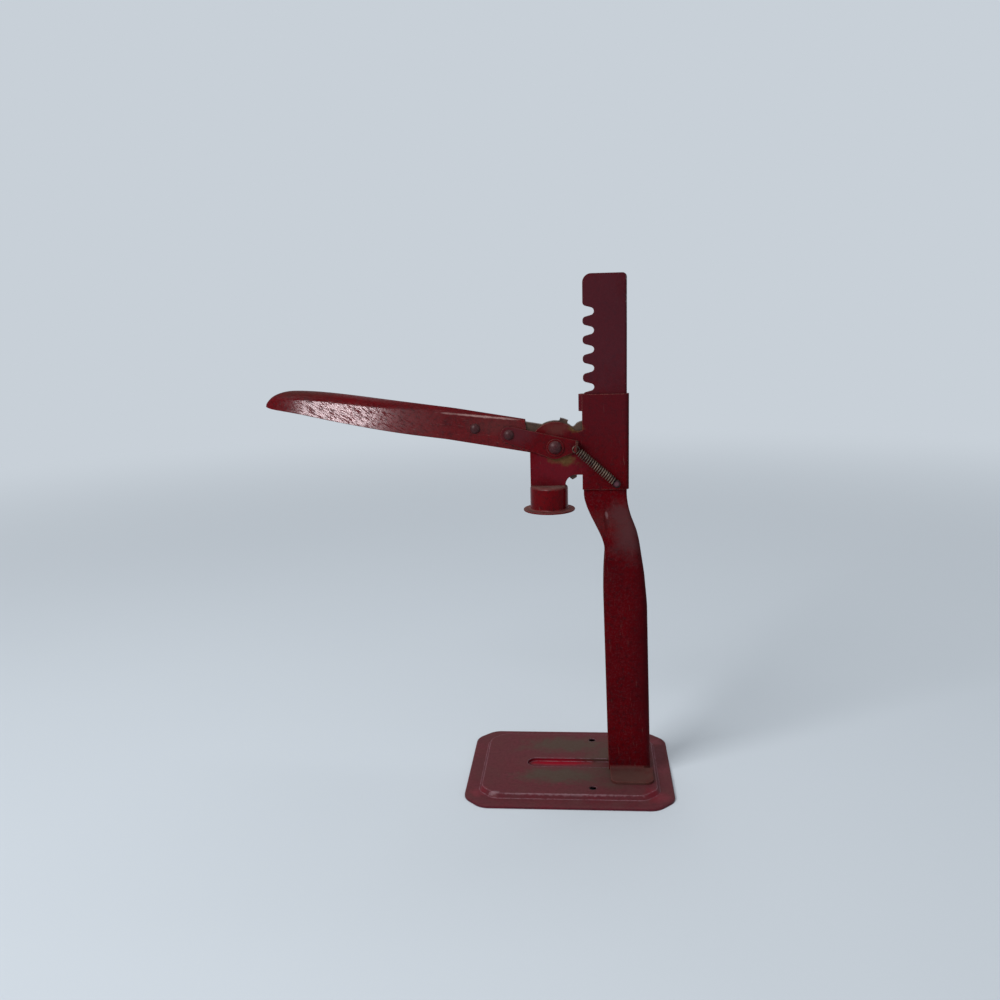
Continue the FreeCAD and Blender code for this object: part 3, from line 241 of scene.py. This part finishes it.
def enamel_paint(tree, place, fresh, faded, look):
    """Paint: two reds in patches, under blots of brown grime and fine mottling.

    Returns its colour, and the noise of the blots.
    """
    patches = add(
        tree,
        "TexNoise",
        {"Scale": scale_for(FADED_PATCH), "Detail": 5, "Roughness": 0.62},
        {"Vector": place},
    )
    fade = add(
        tree,
        "MapRange",
        {"From Min": 0.38, "From Max": 0.66},
        {"Value": patches.outputs["Fac"]},
    )
    paint = add(
        tree,
        "Mix",
        {"data_type": "RGBA", 6: linear(fresh), 7: linear(faded)},
        {0: fade.outputs["Result"]},
    )
    specks = add(
        tree,
        "TexNoise",
        {"Scale": scale_for(GRIME_BLOT), "Detail": 7, "Roughness": 0.7},
        {"Vector": place},
    )
    blots = add(
        tree,
        "MapRange",
        {"From Min": 0.48, "From Max": 0.66, "To Max": 0.6},
        {"Value": specks.outputs["Fac"]},
    )
    dulled = add(
        tree,
        "Mix",
        {"data_type": "RGBA", 7: linear(look["grime"])},
        {0: blots.outputs["Result"], 6: paint.outputs[2]},
    )
    grains = add(
        tree,
        "TexNoise",
        {"Scale": scale_for(MOTTLE_GRAIN), "Detail": 3, "Roughness": 0.6},
        {"Vector": place},
    )
    mottle = add(
        tree,
        "MapRange",
        {"From Min": 0.5, "From Max": 0.68, "To Max": look["mottle"]},
        {"Value": grains.outputs["Fac"]},
    )
    mottled = add(
        tree,
        "Mix",
        {"data_type": "RGBA", 7: linear(look["mottle_tone"])},
        {0: mottle.outputs["Result"], 6: dulled.outputs[2]},
    )
    return mottled.outputs[2], specks.outputs["Fac"]


def scratches(tree, place, specks, look):
    """Thin broken streaks along the piece, as a mask."""
    streaks = streak_noise(tree, place, SCRATCH_WIDTH, SCRATCH_LENGTH, look["scratch_turn"], 2)
    broken = add(tree, "Math", {"operation": "MULTIPLY_ADD", 1: 0.3}, {0: specks, 2: streaks})
    scratch = add(
        tree,
        "MapRange",
        {"From Min": 0.83, "From Max": 0.91, "To Max": 0.8 * look["wear"]},
        {"Value": broken.outputs["Value"]},
    )
    return scratch.outputs["Result"]


def dust_film(tree, place, look):
    """Dust where the piece faces up, uneven as wiping left it: how much lies there, and its colour."""
    normal = add(tree, "NewGeometry").outputs["Normal"]
    facing_up = add(tree, "SeparateXYZ", {}, {0: normal}).outputs["Z"]
    film = add(
        tree,
        "MapRange",
        {"From Min": 0.15, "From Max": 0.95, "To Max": look["dust"]},
        {"Value": facing_up},
    )
    settled = add(
        tree,
        "TexNoise",
        {"Scale": scale_for(DUST_CLOUD), "Detail": 8, "Roughness": 0.68},
        {"Vector": place},
    )
    uneven = add(
        tree,
        "MapRange",
        {"From Min": 0.28, "From Max": 0.6, "To Min": 0.35},
        {"Value": settled.outputs["Fac"]},
    )
    dusty = add(
        tree,
        "Math",
        {"operation": "MULTIPLY"},
        {0: film.outputs["Result"], 1: uneven.outputs["Result"]},
    )
    film_tone = add(
        tree,
        "Mix",
        {"data_type": "RGBA", 6: linear(look["film"]), 7: linear(look["thick_film"])},
        {0: uneven.outputs["Result"]},
    )
    return dusty.outputs["Value"], film_tone.outputs[2]


def lay_stains(tree, place, covered, dusty, stains_and_painted_light):
    """Lay patches of colour and dullness, each over the one before; some are real marks, some painted shade
    and some painted highlights.
    """
    for colour, dullness, spots in stains_and_painted_light:
        patch_mask = strongest(tree, [soft_patch(tree, place, *spot) for spot in spots])
        covered = add(
            tree, "Mix", {"data_type": "RGBA", 7: linear(colour)}, {0: patch_mask, 6: covered}
        ).outputs[2]
        dusty = add(tree, "Mix", {"data_type": "FLOAT", 3: dullness}, {0: patch_mask, 2: dusty}).outputs[0]
    return covered, dusty


def worn_edges(tree, place, flatness, look):
    """Where edges have lost their paint: a mask of bare chips, and one of paler edges, partly worn paint and
    partly a painted highlight.
    """
    edge = add(
        tree,
        "MapRange",
        {"From Min": 0.985, "From Max": 0.8, "To Max": 0.30},
        {"Value": flatness},
    )
    chip_noise = add(
        tree, "TexNoise", {"Scale": scale_for(CHIP), "Detail": 9, "Roughness": 0.74}, {"Vector": place}
    )
    chip_sum = add(
        tree,
        "Math",
        {"operation": "ADD"},
        {0: chip_noise.outputs["Fac"], 1: edge.outputs["Result"]},
    )
    limit = 0.93 - 0.2 * look["wear"]
    chips = add(
        tree,
        "MapRange",
        {"From Min": limit, "From Max": limit + 0.04},
        {"Value": chip_sum.outputs["Value"]},
    )
    worn_thin_and_highlit = add(
        tree,
        "MapRange",
        {"From Min": 0.36, "From Max": 0.54, "To Max": look["thin_edges"]},
        {"Value": chip_noise.outputs["Fac"]},
    )
    thin = add(
        tree,
        "MapRange",
        {"From Max": 0.2},
        {"Value": edge.outputs["Result"], "To Max": worn_thin_and_highlit.outputs["Result"]},
    )
    return chips.outputs["Result"], thin.outputs["Result"]


def hand_polish(tree, place, roughness, relief, look):
    """Gloss that hands keep up in one zone, broken there by scuffs. The rest of the piece is dull."""
    rubbed = streak_noise(tree, place, SCUFF_WIDTH, SCUFF_LENGTH, SCUFF_TURN, 5)
    zone = soft_patch(tree, place, *look["polished_zone"])
    scuff = add(
        tree,
        "MapRange",
        {"From Min": 0.5, "From Max": 0.64},
        {"Value": rubbed, "To Max": zone},
    )
    unpolished = add(tree, "MapRange", {"To Min": 0.65, "To Max": 0.0}, {"Value": zone})
    duller = add(tree, "Math", {"operation": "ADD"}, {0: roughness, 1: unpolished.outputs["Result"]})
    broken_gloss = add(
        tree,
        "Math",
        {"operation": "MULTIPLY_ADD", 1: look["scuffs"]},
        {0: scuff.outputs["Result"], 2: duller.outputs["Value"]},
    )
    scuffed = add(
        tree,
        "Bump",
        {"Strength": 0.5 * look["scuffs"], "Distance": 0.1 * MM, "invert": True},
        {"Height": scuff.outputs["Result"], "Normal": relief},
    )
    return broken_gloss.outputs["Value"], scuffed.outputs["Normal"]


def worn_enamel(name, fresh, faded, look, stains_and_painted_light=(), bare_spots=(), dents=(), painted_hole_shade=()):
    """Stoved enamel on pressed steel, decades old.

    It has faded in patches, is mottled by grime, is chipped to brown steel along its edges, carries fine
    scratches, and a grey film of dust lies where it faces up. Its edges are paler, partly as worn paint and
    partly as a painted highlight. Look holds the finish's own strengths, from 0 to 1, and its tones. Each
    entry of the patch list is a colour, how dull it is, and its patches; some are real marks, some painted
    shade and some painted highlights. A dent is how deep it is in millimetres, and its patch. The last
    argument holds patches painted near black as shade inside holes.
    """
    material, tree = new_material(name)
    place = add(tree, "TexCoord").outputs["Object"]
    rounded, flatness = rounded_edges(tree, look["edge_width"])

    # Colour: paint, scratches that only score it, dust, and then caked dust, haze, grime, wiped spots,
    # painted shade and painted highlights

    paint, specks = enamel_paint(tree, place, fresh, faded, look)
    scratch = scratches(tree, place, specks, look)
    scratched = add(tree, "Mix", {"data_type": "RGBA", 7: linear("#8A5A54")}, {0: scratch, 6: paint})
    dusty, film_tone = dust_film(tree, place, look)
    covered = add(
        tree, "Mix", {"data_type": "RGBA"}, {0: dusty, 6: scratched.outputs[2], 7: film_tone}
    ).outputs[2]
    covered, dusty = lay_stains(tree, place, covered, dusty, stains_and_painted_light)

    # Bare steel: chips along edges and round holes, and the spots where other pieces rub

    chips, thin = worn_edges(tree, place, flatness, look)
    if bare_spots:
        chips = strongest(tree, [chips] + [soft_patch(tree, place, *spot) for spot in bare_spots])
    steel_tone = add(tree, "TexNoise", {"Scale": scale_for(STEEL_CLOUD), "Detail": 4}, {"Vector": place})
    steel = add(
        tree,
        "Mix",
        {"data_type": "RGBA", 6: linear(look["steel_dark"]), 7: linear(look["steel_light"])},
        {0: steel_tone.outputs["Fac"]},
    )
    # Paler edges: partly worn paint, partly a painted highlight.
    edged = add(tree, "Mix", {"data_type": "RGBA", 7: linear(look["edge_tone"])}, {0: thin, 6: covered})
    colour = add(
        tree,
        "Mix",
        {"data_type": "RGBA"},
        {0: chips, 6: edged.outputs[2], 7: steel.outputs[2]},
    ).outputs[2]
    # Painted shade: spots inside holes are darkened to near black.
    if painted_hole_shade:
        hole_shade = strongest(tree, [soft_patch(tree, place, *spot) for spot in painted_hole_shade])
        colour = add(
            tree, "Mix", {"data_type": "RGBA", 7: linear("#120707")}, {0: hole_shade, 6: colour}
        ).outputs[2]

    # Gloss is lost under dust and grime. Relief is orange peel, scuffs, dents, scratches and chips.

    dulling = add(
        tree,
        "MapRange",
        {
            "From Min": 0.3,
            "From Max": 0.75,
            "To Min": look["gloss"],
            "To Max": look["gloss"] + look["spread"],
        },
        {"Value": specks},
    )
    roughness = add(
        tree, "Math", {"operation": "ADD"}, {0: dulling.outputs["Result"], 1: dusty}
    ).outputs["Value"]
    relief = add(
        tree,
        "Bump",
        {"Strength": look["peel"], "Distance": 0.25 * MM},
        {"Height": specks, "Normal": rounded},
    ).outputs["Normal"]
    if look["scuffs"]:
        roughness, relief = hand_polish(tree, place, roughness, relief, look)
    for depth, spot in dents:
        relief = add(
            tree,
            "Bump",
            {"Distance": depth * MM, "invert": True},
            {"Height": soft_patch(tree, place, *spot), "Normal": relief},
        ).outputs["Normal"]
    scored = add(
        tree,
        "Bump",
        {"Strength": 0.5, "Distance": 0.08 * MM, "invert": True},
        {"Height": scratch, "Normal": relief},
    )
    chip_step = add(
        tree,
        "Bump",
        {"Strength": 0.5, "Distance": 0.12 * MM, "invert": True},
        {"Height": chips, "Normal": scored.outputs["Normal"]},
    )
    dull_steel = add(tree, "Math", {"operation": "MULTIPLY", 1: 0.4}, {0: chips})
    shader = add(
        tree,
        "BsdfPrincipled",
        {"IOR": 1.5, "Specular IOR Level": look["sheen"]},
        {
            "Base Color": colour,
            "Roughness": roughness,
            "Metallic": dull_steel.outputs["Value"],
            "Normal": chip_step.outputs["Normal"],
        },
    )
    add(tree, "OutputMaterial", {}, {"Surface": shader.outputs["BSDF"]})
    return material


def aged_steel(name, dark, light, rust, polish, grain, shine=0.9):
    """Bare steel that has browned with age, brighter where it rubs. Grain is in millimetres."""
    material, tree = new_material(name)
    place = add(tree, "TexCoord").outputs["Object"]
    rounded, flatness = rounded_edges(tree, 0.6)
    cloud = add(
        tree,
        "TexNoise",
        {"Scale": scale_for(grain * 4), "Detail": 8, "Roughness": 0.7},
        {"Vector": place},
    )
    tone = add(
        tree,
        "MapRange",
        {"From Min": 0.36, "From Max": 0.66},
        {"Value": cloud.outputs["Fac"]},
    )
    metal = add(
        tree,
        "Mix",
        {"data_type": "RGBA", 6: linear(dark), 7: linear(light)},
        {0: tone.outputs["Result"]},
    )
    bloom = add(
        tree,
        "TexNoise",
        {"Scale": scale_for(grain), "Detail": 6, "Roughness": 0.75},
        {"Vector": place},
    )
    rusty = add(
        tree,
        "MapRange",
        {"From Min": 0.52, "From Max": 0.66, "To Max": 0.85},
        {"Value": bloom.outputs["Fac"]},
    )
    browned = add(
        tree,
        "Mix",
        {"data_type": "RGBA", 7: linear(rust)},
        {0: rusty.outputs["Result"], 6: metal.outputs[2]},
    )
    rubbed = add(
        tree,
        "MapRange",
        {"From Min": 0.98, "From Max": 0.75, "To Max": polish},
        {"Value": flatness},
    )
    colour = add(
        tree,
        "Mix",
        {"data_type": "RGBA", 7: linear("#B8AA98")},
        {0: rubbed.outputs["Result"], 6: browned.outputs[2]},
    )
    roughness = add(
        tree,
        "MapRange",
        {"From Min": 0.3, "From Max": 0.7, "To Min": 0.34, "To Max": 0.62},
        {"Value": bloom.outputs["Fac"]},
    )
    metallic = add(
        tree,
        "MapRange",
        {"To Min": shine, "To Max": 0.25 * shine},
        {"Value": rusty.outputs["Result"]},
    )
    pits = add(
        tree,
        "Bump",
        {"Strength": 0.35, "Distance": 0.15 * MM},
        {"Height": bloom.outputs["Fac"], "Normal": rounded},
    )
    shader = add(
        tree,
        "BsdfPrincipled",
        {},
        {
            "Base Color": colour.outputs[2],
            "Roughness": roughness.outputs["Result"],
            "Metallic": metallic.outputs["Result"],
            "Normal": pits.outputs["Normal"],
        },
    )
    add(tree, "OutputMaterial", {}, {"Surface": shader.outputs["BSDF"]})
    return material


# How each enamelled piece has aged. Strengths run from 0 to 1. Old stoved enamel has lost part of its
# gloss, so its specular level, here called sheen, is below that of new paint. Gloss is the roughness of
# clean paint, and spread is what grime adds to it. Edge_width is in millimetres, and scratch_turn is the
# turn of the scratches about Y, in degrees.

# The edge tone and its strength make the edges paler, partly as worn paint and partly as a painted
# highlight.
PRESSED_PIECE = {
    "grime": "#240C10",
    "mottle": 0.22,
    "mottle_tone": "#5E3338",
    "scratch_turn": 86,
    "dust": 0.5,
    "film": "#4E2E2C",
    "thick_film": "#5A423E",
    "wear": 0.3,
    "thin_edges": 0.5,
    "edge_width": 0.9,
    "edge_tone": "#8E5A52",
    "steel_dark": "#2E1C14",
    "steel_light": "#7A6440",
    "gloss": 0.36,
    "spread": 0.2,
    "sheen": 0.05,
    "peel": 0.2,
    "scuffs": 0.0,
    "polished_zone": None,
}


def enamel_look(**changes):
    """The common look of the enamelled pieces, with this piece's own strengths."""
    return {**PRESSED_PIECE, **changes}


def post_enamel():
    """Deep red, hazy and speckled up the rack, cleaner on the column, dusty on the neck and the feet, with
    painted shade down the column's right side and back and a painted highlight on the neck's crease.
    """
    haze = [((37, 0, 400), (60, 30, 90), 0.75, 0.5), ((37, 0, 345), (60, 30, 60), 0.45, 0.5)]
    # Painted shade: the column is darkened down its right side and across its back.
    shade = [((76, 0, 130), (26, 34, 150), 0.85, 0.4), ((80, 0, 215), (28, 34, 60), 0.65, 0.4)]
    neck_dust = [((53, 0, 226), (21, 30, 34), 0.75), ((48, 0, 243), (17, 24, 12), 0.7)]
    foot_dust = [((56, -30, 7), (36, 26, 6), 0.9), ((56, 30, 7), (36, 26, 6), 0.9)]
    scraped = [((53.0, 0, 432), (1.8, 8, 30), 0.9, 1.2)]
    crease = ((35.4, 0, 236), (3.4, 24, 14), 1.0, 0.2, -6)
    return worn_enamel(
        "post_enamel",
        "#560208",
        "#4A040A",
        enamel_look(mottle=0.3, sheen=0.02),
        stains_and_painted_light=[
            ("#48232A", 0.3, haze),
            ("#37050B", 0.1, shade),
            ("#4E2E30", 0.3, neck_dust),
            ("#563A35", 0.4, foot_dust),
            # Painted highlight: a pale streak along the crease in the neck.
            ("#745658", 0.2, [((34.6, 0, 242.2), (1.5, 22, 3.8), 0.8, 0.8, -14)]),
            ("#9C9896", 0.2, scraped),
        ],
        bare_spots=[((14.6, 0, 350), (1.3, 5, 90), 0.8)],
        dents=[(1.2, crease)],
    )


def head_enamel():
    """Wine red and dull, rubbed to olive-brown steel where arm and gear pass over it, with painted shade
    down the sleeve's folded right edge and a painted highlight along its edges.
    """
    haze = [((34, 0, 350), (70, 30, 75), 0.6, 0.4)]
    return worn_enamel(
        "head_enamel",
        "#5A0309",
        "#50050B",
        enamel_look(
            mottle=0.24,
            sheen=0.03,
            thin_edges=0.9,
            steel_dark="#3E2A18",
            steel_light="#6E5A36",
        ),
        stains_and_painted_light=[
            ("#4A171E", 0.25, haze),
            ("#5A302C", 0.3, [((-8, 0, 319), (18, 14, 8), 0.7)]),
            ("#6A1C28", 0.2, [((-8, 0, 285), (32, 20, 26), 0.5)]),
            # Painted shade: a dark band down the sleeve's folded right edge.
            ("#2E0408", 0.2, [((56.0, 0, 306), (4.6, 60, 90), 0.8, 0.2)]),
        ],
        bare_spots=[
            ((-4.0, 0, 292.0), (19, 14, 6.5), 0.8, 1.0, 14),
            ((8.0, 0, 318.5), (9, 14, 4.5), 0.85),
        ],
    )


def base_enamel():
    """Mauve from dust baked into the red, greenish grey round the groove, clean red inside it, with its
    holes painted near black as shade and a pale line along the near brow that is partly rubbed paint and
    partly a painted highlight.
    """
    caked = [
        ((-6, -25, 6.5), (50, 19, 5), 0.95, 0.9),
        ((-2, 36, 6.5), (54, 20, 5), 0.9, 0.9),
        ((42, 0, 6.5), (44, 58, 5), 0.8, 0.9),
    ]
    clean = [((-12, 6.5, 3.4), (38, 7, 3.8), 1.0, 0.3)]
    corners = [
        ((76, -55, 5), (14, 12, 5), 0.8),
        ((-80, -52, 5), (10, 9, 5), 0.7),
        ((80, 52, 5), (12, 12, 5), 0.6),
    ]
    # A pale line along the near brow of the step and a spot at its near-left corner: partly rubbed paint,
    # partly a painted highlight.
    rubbed = [
        ((0, -58.9, 6.2), (74, 1.2, 1.8), 0.34, 1.6),
        ((-66, -57.5, 6.0), (6, 2.4, 3), 0.45, 1.4),
    ]
    # Painted shade: the two holes are darkened near black.
    holes = [
        ((20.9, 47.2, 5.9), (4.6, 4.6, 2.4), 1.0, 0.1),
        ((20.9, -47.2, 5.9), (4.6, 4.6, 2.4), 1.0, 0.1),
    ]
    return worn_enamel(
        "base_enamel",
        "#560D1B",
        "#4C121D",
        enamel_look(
            grime="#351219",
            dust=0.55,
            film="#55282D",
            thick_film="#5E3A3A",
            wear=0.35,
            gloss=0.24,
            sheen=0.14,
            thin_edges=0.85,
            edge_width=1.5,
            edge_tone="#9C7680",
        ),
        stains_and_painted_light=[
            ("#47382F", 0.4, caked),
            ("#6A0F1E", 0.0, corners),
            ("#840E20", 0.0, clean),
            ("#9A7A80", 0.1, rubbed),
        ],
        painted_hole_shade=holes,
    )


def handle_enamel():
    """The brightest red, polished by hands to a sheen that scuffs break up on its sides, with a painted
    highlight along the upper edge of the shank.
    """
    grimy_top = [((-232, -2, 354), (46, 12, 9), 0.75, 0.5, 9.8)]
    # Painted highlight: a pale line along the upper edge of the shank.
    painted_highlight_line = [((-73, 0, 330.0), (40, 20, 1.2), 0.85, 0.7, 6.2)]
    dust = [((-60, 0, 322), (30, 18, 10), 0.4)]
    return worn_enamel(
        "handle_enamel",
        "#5E040B",
        "#54070D",
        enamel_look(
            dust=0.35,
            film="#480C10",
            thick_film="#461A1A",
            wear=0.4,
            gloss=0.12,
            spread=0.1,
            sheen=0.04,
            peel=0.18,
            scuffs=0.5,
            polished_zone=((-202, 0, 348), (112, 60, 70), 1.0, 0.2, 9.8),
            scratch_turn=9.8,
        ),
        stains_and_painted_light=[
            ("#43231F", 0.4, grimy_top),
            ("#4E2C2A", 0.0, dust),
            ("#A07C78", 0.1, painted_highlight_line),
        ],
    )


def bell_enamel():
    """Glossy deep red with a dusty flat top."""
    return worn_enamel(
        "bell_enamel",
        "#620209",
        "#5A030A",
        enamel_look(
            dust=0.8,
            film="#563230",
            thick_film="#6A4E48",
            wear=0.4,
            gloss=0.14,
            spread=0.08,
            sheen=0.06,
            mottle=0.06,
            peel=0.05,
        ),
    )


def arm_enamel():
    """As the head, but redder and chipped along its edges."""
    return worn_enamel(
        "arm_enamel",
        "#5C050C",
        "#50080F",
        enamel_look(
            wear=0.45,
            dust=0.4,
            gloss=0.32,
            sheen=0.05,
            scratch_turn=9.8,
            steel_dark="#2A1C16",
            steel_light="#4E4238",
        ),
        stains_and_painted_light=[("#50242A", 0.25, [((-42, 0, 314), (20, 30, 12), 0.6)])],
        bare_spots=[((9.5, -11, 304), (1.6, 6, 9))],
    )


def rivet_enamel():
    """Rivets painted over with the rest, rubbed dark brown on their domes."""
    return worn_enamel(
        "rivet_enamel",
        "#441319",
        "#341516",
        enamel_look(
            grime="#1A0C0C",
            wear=0.35,
            dust=0.15,
            gloss=0.3,
            sheen=0.22,
            mottle=0.35,
            peel=0.5,
        ),
    )


def stud_enamel():
    """The spring's stud, near black except for its head's middle."""
    return worn_enamel(
        "stud_enamel",
        "#150B0B",
        "#1C0F0E",
        enamel_look(wear=0.2, dust=0.1, sheen=0.1, mottle=0.2, thin_edges=0.0),
        stains_and_painted_light=[("#5A3A42", 0.1, [((43.0, -12, 270.9), (2.9, 9, 2.9), 1.0, 0.2)])],
    )


def dress_nodes():
    """Give every CAD node the finish of its real piece."""
    post = post_enamel()
    head = head_enamel()
    base = base_enamel()
    grip = handle_enamel()
    bell = bell_enamel()
    arm = arm_enamel()
    rivet = rivet_enamel()
    stud = stud_enamel()
    gear = aged_steel("gear_steel", "#38241E", "#5E4838", "#4A2A1E", 0.3, 2.5, 0.5)
    plug = aged_steel("plug_steel", "#6C6760", "#9A948A", "#6A5A4A", 0.4, 3.0)
    finishes = {
        "toothed_post": post,
        "head_housing": head,
        "base_plate": base,
        "handle": grip,
        "crimping_bell": bell,
        "near_arm": arm,
        "far_arm": arm,
        "gear_plate": gear,
        "pivot_rivet": rivet,
        "front_rivet": rivet,
        "rear_rivet": rivet,
        "spring_stud": stud,
        "near_washer": arm,
        "far_washer": arm,
        "cap_plug": plug,
    }
    for name, material in finishes.items():
        mesh = node_object(name).data
        mesh.materials.clear()
        mesh.materials.append(material)


# The spring: one wire, looped through the ear and round the stud


def spring_points(span):
    """Points along the wire of a spring that lies along Z, from the ear's loop to the stud's loop."""
    lead = WIRE / 4
    first, last = LOOP_RADIUS + lead, span - LOOP_RADIUS - lead
    steps = COIL_TURNS * 12
    arcs = [math.radians(300 * step / 12) for step in range(13)]
    points = [Vector((-math.sin(a), 0, math.cos(a))) * LOOP_RADIUS for a in reversed(arcs)]
    points.append(Vector((0.75 * COIL_RADIUS, 0, first - lead / 2)))
    for step in range(1, steps):
        turn = 2 * math.pi * COIL_TURNS * step / steps
        height = first + (last - first) * step / steps
        points.append(Vector((COIL_RADIUS * math.cos(turn), COIL_RADIUS * math.sin(turn), height)))
    points.append(Vector((0.75 * COIL_RADIUS, 0, last + lead / 2)))
    end = Vector((0, 0, span))
    points += [end - Vector((math.sin(a), 0, math.cos(a))) * LOOP_RADIUS for a in arcs]
    return points


def make_spring():
    """The return spring in smooth round wire."""
    pivot = Vector(joint("lever_pivot")["pos_m"])
    lean = Matrix.Rotation(LEVER_ANGLE, 4, "Y")
    stud = middle("spring_stud")
    ear = pivot + lean @ Vector((EAR_REACH, 0, EAR_LOOP_RISE))
    line_y = middle("return_spring").y
    top = Vector((ear.x, line_y, ear.z))
    bottom = Vector((stud.x, line_y, stud.z))
    along = bottom - top
    side = Vector((0, 1, 0))
    across = side.cross(along.normalized())
    turn = Matrix((across, side, along.normalized())).transposed()
    curve = bpy.data.curves.new("return_spring_wire", "CURVE")
    curve.dimensions = "3D"
    curve.bevel_depth = WIRE / 2
    curve.bevel_resolution = 3
    curve.resolution_u = 2
    curve.use_fill_caps = True
    points = spring_points(along.length - STUD_BEARING)
    spline = curve.splines.new("NURBS")
    spline.points.add(len(points) - 1)
    for point, place in zip(spline.points, points):
        point.co = (*(top + turn @ place), 1.0)
    spline.order_u = 4
    spline.use_endpoint_u = True
    spring = bpy.data.objects.new("return_spring_wire", curve)
    bpy.context.collection.objects.link(spring)
    select_only(spring)
    bpy.ops.object.convert(target="MESH")
    bpy.ops.object.shade_smooth()
    spring = bpy.context.view_layer.objects.active
    spring.data.materials.clear()
    wire_steel = aged_steel("spring_steel", "#241A18", "#86705F", "#2E1E18", 0.35, 1.4, 0.5)
    spring.data.materials.append(wire_steel)
    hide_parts("return_spring")
    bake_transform(spring)


# Floor, light and camera


def make_floor():
    """A plain pale floor. Far from the tool it takes on the surround's own tone, so no horizon shows."""
    bpy.ops.object.select_all(action="DESELECT")
    bpy.ops.mesh.primitive_plane_add(size=FLOOR_SIDE, location=(0, 0, 0))
    floor = bpy.context.active_object
    floor.name = "floor"
    material, tree = new_material("floor_paint")
    place = add(tree, "TexCoord").outputs["Object"]
    tone = add(tree, "TexNoise", {"Scale": scale_for(FLOOR_CLOUD), "Detail": 3}, {"Vector": place})
    colour = add(
        tree,
        "Mix",
        {"data_type": "RGBA", 6: linear("#CBD2D9"), 7: linear("#CFD6DC")},
        {0: tone.outputs["Fac"]},
    )
    shader = add(tree, "BsdfPrincipled", {"Roughness": 0.8}, {"Base Color": colour.outputs[2]})
    distance = add(tree, "VectorMath", {"operation": "LENGTH"}, {0: place})
    far = add(
        tree,
        "MapRange",
        {"interpolation_type": "SMOOTHSTEP", "From Min": FADE_START, "From Max": FADE_END},
        {"Value": distance.outputs["Value"]},
    )
    part = add(
        tree,
        "Math",
        {"operation": "MULTIPLY"},
        {0: far.outputs["Result"], 1: seen_directly(tree)},
    )
    glow = add(tree, "Emission", {"Color": linear(SURROUND), "Strength": 1.0})
    both = add(
        tree,
        "MixShader",
        {},
        {0: part.outputs["Value"], 1: shader.outputs["BSDF"], 2: glow.outputs["Emission"]},
    )
    add(tree, "OutputMaterial", {}, {"Surface": both.outputs["Shader"]})
    floor.data.materials.append(material)


def make_world():
    """A pale blue-grey surround, the same to the camera and in reflections, with a soft light of its own."""
    world = bpy.data.worlds.new("surround")
    bpy.context.scene.world = world
    world.use_nodes = True
    tree = world.node_tree
    tree.nodes.clear()
    strength = add(
        tree,
        "MapRange",
        {"To Min": SURROUND_LIGHT, "To Max": 1.0},
        {"Value": seen_directly(tree)},
    )
    light = add(
        tree, "Background", {"Color": linear(SURROUND)}, {"Strength": strength.outputs["Result"]}
    )
    add(tree, "OutputWorld", {}, {"Surface": light.outputs["Background"]})


def add_softbox(name, place, target, size, power):
    """A square soft lamp that faces a point, as the object that holds it."""
    lamp = bpy.data.lights.new(name, "AREA")
    lamp.shape = "SQUARE"
    lamp.size = size
    lamp.energy = power
    holder = bpy.data.objects.new(name, lamp)
    bpy.context.collection.objects.link(holder)
    holder.location = place
    holder.rotation_euler = (Vector(target) - Vector(place)).to_track_quat("-Z", "Y").to_euler()
    return holder


def show_only_in(holder, names):
    """Let a lamp show in the gloss of these nodes only, and light nothing else."""
    shiny = bpy.data.collections.new("shows_" + holder.name)
    for name in names:
        shiny.objects.link(node_object(name))
    holder.visible_diffuse = False
    holder.light_linking.receiver_collection = shiny


def make_lights():
    """A large soft lamp at the left front, weaker ones at the right and above, and a window's reflection.

    The window stands where the photograph's handle shows its sheen: left of the camera and behind it. The
    glint is its upper part, which the photograph's bell shows on its shoulder and rim.
    """
    target = (0, 0, 0.22)
    add_softbox("key_light", (-1.3, -1.3, 1.5), target, 1.1, 35)
    add_softbox("fill_light", (1.6, -1.2, 0.7), target, 1.4, 4)
    add_softbox("top_light", (0.1, 0.6, 2.0), target, 1.2, 13)
    window = add_softbox("window", (-0.53, -1.25, 0.2), (-0.18, 0, 0.33), 0.36, 84)
    window.data.color = linear("#FFF1F6")[:3]
    show_only_in(window, ["handle"])
    glint = add_softbox("glint", (-0.37, -0.93, 1.1), (-0.02, 0, 0.27), 0.3, 30)
    show_only_in(glint, ["crimping_bell"])


def make_camera():
    """The camera at the photograph's place, looking at its angle."""
    yaw_right = Vector((math.cos(CAMERA_YAW), math.sin(CAMERA_YAW), 0))
    yaw_ahead = Vector((-math.sin(CAMERA_YAW), math.cos(CAMERA_YAW), 0))
    up = Vector((0, 0, 1))
    ahead = yaw_ahead * math.cos(CAMERA_PITCH) - up * math.sin(CAMERA_PITCH)
    tilted_up = up * math.cos(CAMERA_PITCH) + yaw_ahead * math.sin(CAMERA_PITCH)
    right = yaw_right * math.cos(CAMERA_ROLL) - tilted_up * math.sin(CAMERA_ROLL)
    top = tilted_up * math.cos(CAMERA_ROLL) + yaw_right * math.sin(CAMERA_ROLL)
    lens = bpy.data.cameras.new("camera")
    lens.sensor_width = SENSOR_WIDTH
    lens.lens = CAMERA_LENS
    camera = bpy.data.objects.new("camera", lens)
    bpy.context.collection.objects.link(camera)
    turn = Matrix((right, top, -ahead)).transposed().to_4x4()
    camera.matrix_world = Matrix.Translation(CAMERA_PLACE) @ turn
    bpy.context.scene.camera = camera


bpy.context.scene.view_settings.view_transform = "Standard"
make_camera()
make_floor()
make_world()
make_lights()
dress_nodes()
make_spring()
